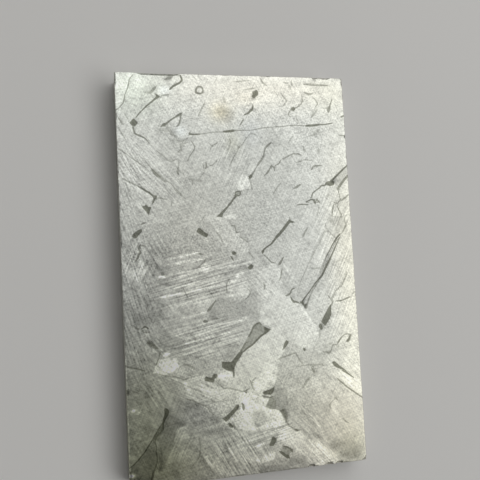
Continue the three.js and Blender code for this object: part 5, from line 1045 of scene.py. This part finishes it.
# Bites in the rim: x, y, the reach along the edge and how far the bite goes in and down.
rimBites = [
    (-6.1, 15.9, 1.6, 0.16), (8, 15.9, 0.3, 0.12), (7.09, 15.9, 0.14, 0.14), (-9.5, -14.9, 0.2, 0.1),
    (-9.5, -8.8, 0.16, 0.08), (9.5, 10.9, 0.12, 0.08), (4.75, -15.9, 0.2, 0.15), (6.25, -15.9, 0.3, 0.11),
    (7.1, -15.9, 0.22, 0.15), (9.5, 15.6, 0.4, 0.05), (9.4, -15.8, 0.2, 0.12),
]


# How far the rim is broken back at each point of the edge: the deburred width, a seeded waver and
# the bites.
def rimLeg(x, y):
    leg = np.ones(x.shape)
    for share, wavelength, seed in slab["waver"]:
        leg += share * softNoise(x, y, wavelength, seed)
    begin, end = slab["biteFade"]
    for biteX, biteY, reach, depth in rimBites:
        away = np.hypot(x - biteX, y - biteY)
        leg = np.maximum(leg, depth / slab["rim"] * (1.0 - smoothStep(away, reach * begin, reach * end)))
    return leg


# Even spacing from -1 to 1 with one narrow cell at each end.
def gridLine(cells, narrow):
    return np.concatenate([[-1.0], np.linspace(-1.0 + narrow, 1.0 - narrow, cells - 1), [1.0]])


# The vertex numbers round a grid's border, anticlockwise from above.
def borderOf(ids):
    return np.concatenate([ids[0, :-1], ids[:-1, -1], ids[-1, :0:-1], ids[:0:-1, 0]])


# The whole slab as one closed sheet. The etched face is a grid; round it the rim profile and the sawn
# wall are carried along the edge; the back is a grid of twice the spacing.
def slabSurface(halfWidth, halfLength, thickness):
    across, along, rim = slab["acrossCells"], slab["alongCells"], slab["rim"]
    flatWidth, flatLength = halfWidth - rim, halfLength - rim
    u = gridLine(across, slab["creaseCell"] / flatWidth)
    v = gridLine(along, slab["creaseCell"] / flatLength)
    gridU, gridV = np.meshgrid(u, v)
    frontIds = np.arange(gridU.size).reshape(gridU.shape)
    ring = borderOf(frontIds)
    ringU, ringV = gridU.ravel()[ring], gridV.ravel()[ring]
    # rows round the edge: how far in from the edge, and how far down from the face
    profile = slab["rimProfile"]
    wallTop = profile[-1][1]
    wallDrops = np.linspace(wallTop, thickness - wallTop, slab["wallRows"] + 2)[1:-1]
    rows = profile + [(0.0, drop) for drop in wallDrops]
    rows += [(inset, thickness - drop) for inset, drop in reversed(slab["rimProfile"])]
    x = [gridU.ravel() * flatWidth]
    y = [gridV.ravel() * flatLength]
    inset = [np.full(gridU.size, rim)]
    drop = [np.zeros(gridU.size)]
    for rowInset, rowDrop in rows:
        x.append(ringU * (halfWidth - rowInset))
        y.append(ringV * (halfLength - rowInset))
        inset.append(np.full(ring.size, rowInset))
        drop.append(np.full(ring.size, rowDrop))
    backU, backV = gridU[::2, ::2], gridV[::2, ::2]
    x.append(backU.ravel() * flatWidth)
    y.append(backV.ravel() * flatLength)
    inset.append(np.full(backU.size, rim))
    drop.append(np.full(backU.size, thickness))
    x, y, inset, drop = (np.concatenate(part) for part in (x, y, inset, drop))

    quads = [quadsOf(frontIds)]
    upper = ring
    start = gridU.size
    for _ in rows:
        lower = start + np.arange(ring.size)
        quads.append(np.stack([lower, np.roll(lower, -1), np.roll(upper, -1), upper], 1))
        upper = lower
        start += ring.size
    backIds = start + np.arange(backU.size).reshape(backU.shape)
    quads.append(quadsOf(backIds)[:, ::-1])
    # the wall's last row meets the back's wider spacing: three triangles for each of its edges
    first, middle, last = upper[::2], upper[1::2], np.roll(upper, -2)[::2]
    near, far = borderOf(backIds), np.roll(borderOf(backIds), -1)
    triangles = np.concatenate([
        np.stack([near, middle, first], 1), np.stack([near, far, middle], 1),
        np.stack([far, last, middle], 1),
    ])
    faces = np.concatenate(quads).tolist() + triangles.tolist()
    return x, y, inset, drop, faces, gridU.size


# The four corners of each cell of a grid of vertex numbers, anticlockwise from above.
def quadsOf(ids):
    return np.stack([ids[:-1, :-1], ids[:-1, 1:], ids[1:, 1:], ids[1:, :-1]], -1).reshape(-1, 4)


# Writes three numbers for every vertex, under a name that the material reads.
def writeField(mesh, name, *columns):
    values = np.stack(columns, 1).astype(np.float32)
    mesh.attributes.new(name, "FLOAT_VECTOR", "POINT").data.foreach_set("vector", values.ravel())


# The light that each point of the metal gives back, 1 in the middle: its crystal's tone with the painted
# light and shade of the slow tones and soft patches, and on the etched face the strokes of the grinding and
# a painted highlight along the left rim, turned from display steps to light.
def metalToneWithPaintedLight(x, y, depth, frontCount, halfWidth, halfLength):
    tone = faceToneWithPaintedLight(x, y, depth)
    gridShape = (slab["alongCells"] + 1, slab["acrossCells"] + 1)
    faceTone, faceX, faceY = (part[:frontCount].reshape(gridShape) for part in (tone, x, y))
    traced = [(strokeTone, width, start, end) for strokeTone, width, points in groundStrokesAndRimHighlight
              for start, end in zip(points, points[1:])]
    addStrokes(faceTone, faceX, faceY, traced)
    addStrokes(faceTone, faceX, faceY, seededStrokes(halfWidth, halfLength))
    return np.maximum(1.0 + tone, darkestTone) ** displayGamma


# How deep the acid sank each point of the two flat faces: the deepest of body, field, seam and blot.
def etchRelief(body, field, half, reach, lineTone, blot):
    edge, fieldDepth = slab["etchEdge"], slab["fieldShare"] * slab["etchDepth"]
    sunk = slab["etchDepth"] * smoothStep(-body, -edge, edge)
    sunk = np.maximum(sunk, fieldDepth * smoothStep(-field, -edge, edge))
    seamStart, seamWidth = slab["seamEdge"]
    seam = slab["seamDepth"] * lineTone * smoothStep(half + seamStart - reach, 0.0, seamWidth)
    return np.maximum(np.maximum(sunk, seam), fieldDepth * blot)


# Gives the slab its height and its sides: the bites and the waver deepen the rim's profile, the
# relief sinks the faces, and the sawn walls wander a little, inwards only.
def shapeSides(x, y, inset, drop, relief, halfWidth, halfLength, thickness):
    isWall = inset < slab["rim"] - hair
    onSide = halfWidth - np.abs(x) < halfLength - np.abs(y)
    edgeX = np.where(onSide, np.sign(x) * halfWidth, x)
    edgeY = np.where(onSide, y, np.sign(y) * halfLength)
    upperHalf = drop < thickness / 2
    leg = np.where(upperHalf, rimLeg(edgeX, edgeY), 1.0)
    fromEdge = np.where(isWall, inset, np.minimum(halfWidth - np.abs(x), halfLength - np.abs(y)))
    fromFace = np.minimum(drop, thickness - drop)
    isRim = isWall & (fromFace <= slab["rimProfile"][-1][1] + hair)
    deepened = fromFace * np.minimum(leg, 1.0) + np.maximum(leg - 1.0, 0.0) * slab["rim"]
    level = np.where(isRim, deepened, fromFace)
    level = np.where(isWall, level, np.maximum(leg * slab["rim"] - fromEdge, 0.0) + relief)
    z = np.where(upperHalf, thickness - level, level)
    waves = softNoise(x + y, drop * slab["sawStretch"], slab["sawLength"], slab["sawSeed"])
    wander = slab["sawWave"] * 0.5 * (1.0 + waves * slab["sawSwing"])
    wander = np.where(isWall & ~isRim, np.clip(wander, 0.0, slab["sawLimit"]), 0.0)
    x = np.where(onSide, x - np.sign(x) * wander, x)
    y = np.where(~onSide, y - np.sign(y) * wander, y)
    return x, y, z, isWall & ~isRim


# Draws each square corner towards a quarter disc: near it, a point moves in by how far along the
# other side it stands.
def roundCorners(x, y, halfWidth, halfLength):
    pull, size = slab["cornerPull"], slab["cornerReach"]
    cornerU = np.clip((np.abs(x) - (halfWidth - size)) / size, 0.0, 1.0)
    cornerV = np.clip((np.abs(y) - (halfLength - size)) / size, 0.0, 1.0)
    x = x - np.sign(x) * size * cornerU * (1.0 - np.sqrt(1.0 - pull * cornerV ** 2 / 2.0))
    y = y - np.sign(y) * size * cornerV * (1.0 - np.sqrt(1.0 - pull * cornerU ** 2 / 2.0))
    return x, y


# Puts new data into the scene as an object at the origin.
def addObject(name, data):
    item = bpy.data.objects.new(name, data)
    bpy.context.scene.collection.objects.link(item)
    return item


# Puts the slab, its relief and its pattern fields into one mesh. The pattern is read off the etched
# face and carried through the metal by each family's lean.
def makeSlice():
    halfWidth, halfLength, thickness = (length / mm for length in sliceHigh)
    x, y, inset, drop, faces, frontCount = slabSurface(halfWidth, halfLength, thickness)
    body = bodiesDistance(x, y, drop, darkBodies)
    field = bodiesDistance(x, y, drop, greyFields)
    side, reach, half, lineTone = nearestLine(x, y, drop, darkLines)
    tone = metalToneWithPaintedLight(x, y, drop, frontCount, halfWidth, halfLength)
    blot = blotDarkness(x, y)
    red, blue = bells(x, y, tintsWithPaintedReflection, 4), bells(x, y, tintsWithPaintedReflection, 5)
    scratches = [scratchAmount(x, y, scratchPatches[name]) for name in strokeFamilies]
    relief = etchRelief(body, field, half, reach, lineTone, blot)
    x, y, z, isSawn = shapeSides(x, y, inset, drop, relief, halfWidth, halfLength, thickness)
    x, y = roundCorners(x, y, halfWidth, halfLength)
    coarse = bells(x, y, coarsePatches, 4)

    mesh = bpy.data.meshes.new("etched_slice")
    mesh.from_pydata((np.stack([x, y, z], 1) * mm).tolist(), [], faces)
    mesh.polygons.foreach_set("use_smooth", np.ones(len(mesh.polygons), bool))
    writeField(mesh, "inclusionField", body, field, blot)
    writeField(mesh, "lineField", side, reach, half)
    writeField(mesh, "toneField", tone, lineTone, isSawn)
    writeField(mesh, "scratchField", *scratches[:3])
    # the tints, with their painted warm reflection, go into this field beside the falling scratches
    writeField(mesh, "tintField", red, blue, scratches[3])
    writeField(mesh, "grainField", scratches[4], coarse, scratches[5])
    mesh.update()
    print("slice:", len(mesh.vertices), "vertices")
    return addObject("etched_slice", mesh)


# An sRGB hex colour as linear red, green, blue and alpha.
def linearColour(code):
    channels = [int(code[i:i + 2], 16) / 255.0 for i in (1, 3, 5)]
    linear = [c / 12.92 if c <= 0.04045 else ((c + 0.055) / 1.055) ** 2.4 for c in channels]
    return (*linear, 1.0)


# Adds one node, with its settings by name and its inputs as values or as other nodes' outputs, and
# gives back its own outputs.
def addNode(tree, kind, inputs=None, **settings):
    node = tree.nodes.new(kind)
    for name, value in settings.items():
        setattr(node, name, value)
    for socket, value in (inputs or {}).items():
        if isinstance(value, bpy.types.NodeSocket):
            tree.links.new(value, node.inputs[socket])
        else:
            node.inputs[socket].default_value = value
    return node.outputs


# Etched nickel-iron: satin grey metal whose crystals took the acid differently. It was sawn, ground
# with coarse paper and etched, so it shows sheen in patches, scratches that cross, and dull seams.
etchedIron = {
    "metal": "#c2c4be",         # kamacite, the main metal
    "inclusion": "#6c6e64",     # phosphide and dark etched lamellae
    "greyField": "#979991",     # fine plessite between dark borders
    "sawnSide": "#9a9890",      # the saw's duller finish
    "roughness": 0.4,
    "roughSwing": 0.12,         # how far the scratches change the gloss
    "grain": (0.14, 0.13),      # the etch's own grain: mm and depth, drawn coarser than the real 0.05
    "mottles": [(0.36, 0.055), (0.8, 0.06), (1.9, 0.05)],  # clouds inside a crystal: mm and depth
    "noise": {"grain": (1.0, 0.6), "mottles": (2.0, 0.5), "streaks": (1.5, 0.6)},  # detail, roughness
    "noiseSpan": (0.3, 0.7),    # noise hardly leaves this span, so it is stretched to the full one
    "bumpHeight": 0.002,        # mm
    # where each mask begins and where it is full, in mm from the edge of its form
    "edges": {"body": (0.035, -0.035), "greyField": (0.05, -0.05), "line": (0.03, -0.02),
              "lineEnd": (0.1, 0.05)},
    "greyShare": 0.9,           # how much of each colour the mask puts on
    "inclusionShare": 0.95,
    "sawnShare": 0.5,
    # grinding scratches: angle, length and spacing in mm, depth everywhere, more where patches ask;
    # coarse paper leaves about 0.08 mm, drawn coarser to show
    "streaks": {
        "rising": (13, 2.6, 0.13, 0.09, 0.3),
        "steep": (-60, 2.4, 0.13, 0.1, 0.26),
        "upright": (63, 1.8, 0.12, 0.09, 0.18),
        "falling": (-28, 2.2, 0.13, 0.08, 0.2),
        "plumb": (-74, 2.6, 0.13, 0.0, 0.26),
        "slant": (-47, 2.6, 0.13, 0.03, 0.26),
    },
}


# Grain, clouds and scratches are noise about zero, added up; the slice's own fields say how bright each
# crystal is, painted light and shade included, how it is tinted, with a painted warm reflection, and where
# the dark phases lie.
def etchedIronMaterial():
    look = etchedIron
    material = bpy.data.materials.new("etched_nickel_iron")
    material.use_nodes = True
    tree = material.node_tree
    tree.nodes.clear()
    place = addNode(tree, "ShaderNodeTexCoord")["Object"]
    fields = []
    for name in ("inclusionField", "lineField", "toneField", "scratchField", "tintField", "grainField"):
        read = addNode(tree, "ShaderNodeAttribute", attribute_name=name)
        fields += list(addNode(tree, "ShaderNodeSeparateXYZ", {0: read["Vector"]}))
    body, greyDistance, blot, side, reach, half, tone, lineTone, wall = fields[:9]
    rising, steep, upright, red, blue, falling, plumb, coarse, slant = fields[9:]

    # masks, 1 inside
    offMiddle = addNode(tree, "ShaderNodeMath", {0: side}, operation="ABSOLUTE")[0]
    acrossLine = addNode(tree, "ShaderNodeMath", {0: offMiddle, 1: half}, operation="SUBTRACT")[0]
    nearLine = addNode(tree, "ShaderNodeMath", {0: reach, 1: half}, operation="SUBTRACT")[0]
    masks = []
    distances = (body, greyDistance, acrossLine, nearLine)
    for distance, (begin, full) in zip(distances, look["edges"].values()):
        masks.append(addNode(tree, "ShaderNodeMapRange", {
            "Value": distance, "From Min": begin, "From Max": full,
        }, interpolation_type="SMOOTHSTEP")[0])
    bodyMask, greyMask, lineMask, endMask = masks
    lineMask = addNode(tree, "ShaderNodeMath", {0: lineMask, 1: endMask}, operation="MULTIPLY")[0]
    lineMask = addNode(tree, "ShaderNodeMath", {0: lineMask, 1: lineTone}, operation="MULTIPLY")[0]
    darkMask = addNode(tree, "ShaderNodeMath", {0: bodyMask, 1: lineMask}, operation="MAXIMUM")[0]
    darkMask = addNode(tree, "ShaderNodeMath", {0: darkMask, 1: blot}, operation="MAXIMUM")[0]

    # patterns: where they are laid, scale, detail, roughness and how strongly they show
    grainSize, grainDepth = look["grain"]
    depth = addNode(tree, "ShaderNodeMath", {0: coarse, 1: 1.0}, operation="ADD")[0]
    depth = addNode(tree, "ShaderNodeMath", {0: depth, 1: grainDepth}, operation="MULTIPLY")[0]
    noise = look["noise"]
    patterns = [(place, 1.0 / (grainSize * mm), *noise["grain"], depth)]
    for size, clouding in look["mottles"]:
        patterns.append((place, 1.0 / (size * mm), *noise["mottles"], clouding))
    patches = (rising, steep, upright, falling, plumb, slant)
    for patch, (angle, length, spacing, plain, extra) in zip(patches, look["streaks"].values()):
        laid = addNode(tree, "ShaderNodeMapping", {
            "Vector": place, "Rotation": (0.0, 0.0, math.radians(angle)),
            "Scale": (length * mm, spacing * mm, spacing * mm),
        }, vector_type="TEXTURE")[0]
        depth = addNode(tree, "ShaderNodeMath", {0: patch, 1: extra, 2: plain},
                        operation="MULTIPLY_ADD")[0]
        patterns.append((laid, 1.0, *noise["streaks"], depth))
    texture = 0.0
    lowest, highest = look["noiseSpan"]
    for vector, scale, detail, roughness, depth in patterns:
        grain = addNode(tree, "ShaderNodeTexNoise", {
            "Vector": vector, "Scale": scale, "Detail": detail, "Roughness": roughness,
        })[0]
        swing = addNode(tree, "ShaderNodeMapRange", {
            "Value": grain, "From Min": lowest, "From Max": highest, "To Min": -1.0, "To Max": 1.0,
        }, interpolation_type="SMOOTHSTEP")[0]
        texture = addNode(tree, "ShaderNodeMath", {0: swing, 1: depth, 2: texture},
                          operation="MULTIPLY_ADD")[0]

    # the light that the metal gives back: its crystal's tone with painted light and shade, its texture and
    # its tint, a painted warm reflection towards the right and top
    light = addNode(tree, "ShaderNodeMath", {0: texture, 1: tone, 2: tone}, operation="MULTIPLY_ADD")[0]
    tint = addNode(tree, "ShaderNodeCombineXYZ", {"X": red, "Z": blue})[0]
    tint = addNode(tree, "ShaderNodeVectorMath", {0: tint, 1: (1.0, 1.0, 1.0)}, operation="ADD")[0]
    tint = addNode(tree, "ShaderNodeVectorMath", {0: tint, "Scale": light}, operation="SCALE")[0]
    colour = linearColour(look["metal"])
    for mask, share, name in ((greyMask, "greyShare", "greyField"),
                              (darkMask, "inclusionShare", "inclusion")):
        part = addNode(tree, "ShaderNodeMath", {0: mask, 1: look[share]}, operation="MULTIPLY")[0]
        colour = addNode(tree, "ShaderNodeMix", {0: part, 6: colour, 7: linearColour(look[name])},
                         data_type="RGBA")[2]
    colour = addNode(tree, "ShaderNodeVectorMath", {0: colour, 1: tint}, operation="MULTIPLY")[0]
    part = addNode(tree, "ShaderNodeMath", {0: wall, 1: look["sawnShare"]}, operation="MULTIPLY")[0]
    colour = addNode(tree, "ShaderNodeMix", {0: part, 6: colour, 7: linearColour(look["sawnSide"])},
                     data_type="RGBA")[2]

    rough = addNode(tree, "ShaderNodeMath", {0: texture, 1: look["roughSwing"], 2: look["roughness"]},
                    operation="MULTIPLY_ADD")[0]
    bump = addNode(tree, "ShaderNodeBump", {
        "Strength": 1.0, "Distance": look["bumpHeight"] * mm, "Height": texture,
    })[0]
    shader = addNode(tree, "ShaderNodeBsdfPrincipled", {
        "Base Color": colour, "Metallic": 1.0, "Roughness": rough, "Normal": bump,
    })[0]
    addNode(tree, "ShaderNodeOutputMaterial", {0: shader})
    return material


# The studio: a pale floor, one long soft panel up to the right, and a room that is dark overhead and
# pale towards its walls. The panel's place, turn and size come from a fit to the photo's slow shading.
studio = {
    "floorColour": "#efeeeb",
    "floorRoughness": 0.85,
    "floorHalf": 400.0,
    "floorDrop": 0.02,                    # mm below the slice
    "panelPlace": (265.0, 135.0, 450.0),  # mm from the middle of the slice
    "panelTurn": 33.0,                    # degrees
    "panelSize": (468.0, 1080.0),
    "panelPower": 2.57,
    "roomColour": "#e6e4df",
    "roomOverhead": 0.055,
    "roomWalls": 0.6,
    "wallTop": 0.55,                      # how high the pale walls reach: the sine of the angle
}


# A plain square of matte board, a hair's breadth under the slice.
def makeFloor():
    half = studio["floorHalf"] * mm
    mesh = bpy.data.meshes.new("floor")
    corners = [(-half, -half), (half, -half), (half, half), (-half, half)]
    mesh.from_pydata([(x, y, -studio["floorDrop"] * mm) for x, y in corners], [], [(0, 1, 2, 3)])
    floor = addObject("floor", mesh)
    material = bpy.data.materials.new("matte_backing_board")
    material.use_nodes = True
    shader = material.node_tree.nodes["Principled BSDF"]
    shader.inputs["Base Color"].default_value = linearColour(studio["floorColour"])
    shader.inputs["Roughness"].default_value = studio["floorRoughness"]
    mesh.materials.append(material)


# The panel shines straight down.
def makePanel():
    panel = bpy.data.lights.new("softPanel", "AREA")
    panel.shape = "RECTANGLE"
    panel.size, panel.size_y = (length * mm for length in studio["panelSize"])
    panel.energy = studio["panelPower"]
    lamp = addObject("softPanel", panel)
    lamp.location = Vector(studio["panelPlace"]) * mm
    lamp.rotation_euler = (0.0, 0.0, math.radians(studio["panelTurn"]))


# The room's light falls smoothly from its walls to its ceiling, by the sine of the angle looked up.
def makeRoom():
    world = bpy.data.worlds.new("studioRoom")
    world.use_nodes = True
    tree = world.node_tree
    tree.nodes.clear()
    direction = addNode(tree, "ShaderNodeTexCoord")["Generated"]
    height = addNode(tree, "ShaderNodeSeparateXYZ", {0: direction})["Z"]
    strength = addNode(tree, "ShaderNodeMapRange", {
        "Value": height, "From Min": 0.0, "From Max": studio["wallTop"],
        "To Min": studio["roomWalls"], "To Max": studio["roomOverhead"],
    }, interpolation_type="SMOOTHSTEP")["Result"]
    room = addNode(tree, "ShaderNodeBackground", {
        "Color": linearColour(studio["roomColour"]), "Strength": strength,
    })[0]
    addNode(tree, "ShaderNodeOutputWorld", {"Surface": room})
    bpy.context.scene.world = world
    bpy.context.scene.view_settings.view_transform = "Standard"


# The camera stands where the photo was taken from: worked out from the slab's four corners.
view = {
    "place": (-10.976, -0.958, 45.924),   # mm from the middle of the etched face
    "right": (0.9727, -0.0527, 0.2259),
    "up": (0.0351, 0.9961, 0.0812),
    "focalPixels": 591.84,                # for a frame of 480 pixels
    "framePixels": 480,
    "sensor": 36.0,                       # mm
    "clip": (1.0, 5000.0),                # mm
}


# Its three axes are made square to each other before they are used as a matrix.
def makeCamera():
    data = bpy.data.cameras.new("camera")
    data.sensor_width = view["sensor"]
    data.lens = view["focalPixels"] / view["framePixels"] * view["sensor"]
    data.clip_start, data.clip_end = (distance * mm for distance in view["clip"])
    right, up = Vector(view["right"]).normalized(), Vector(view["up"]).normalized()
    back = right.cross(up).normalized()
    up = back.cross(right)
    camera = addObject("camera", data)
    place = Vector(view["place"]) * mm + Vector((0.0, 0.0, sliceHigh.z))
    camera.matrix_world = Matrix.Translation(place) @ Matrix((right, up, back)).transposed().to_4x4()
    bpy.context.scene.camera = camera


makeCamera()
makeFloor()
makePanel()
makeRoom()
print("camera and studio are in place")
slicePiece = makeSlice()
slicePiece.data.materials.append(etchedIronMaterial())
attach(slicePiece, "root")
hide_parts("meteorite_slice")
print("slice is dressed")
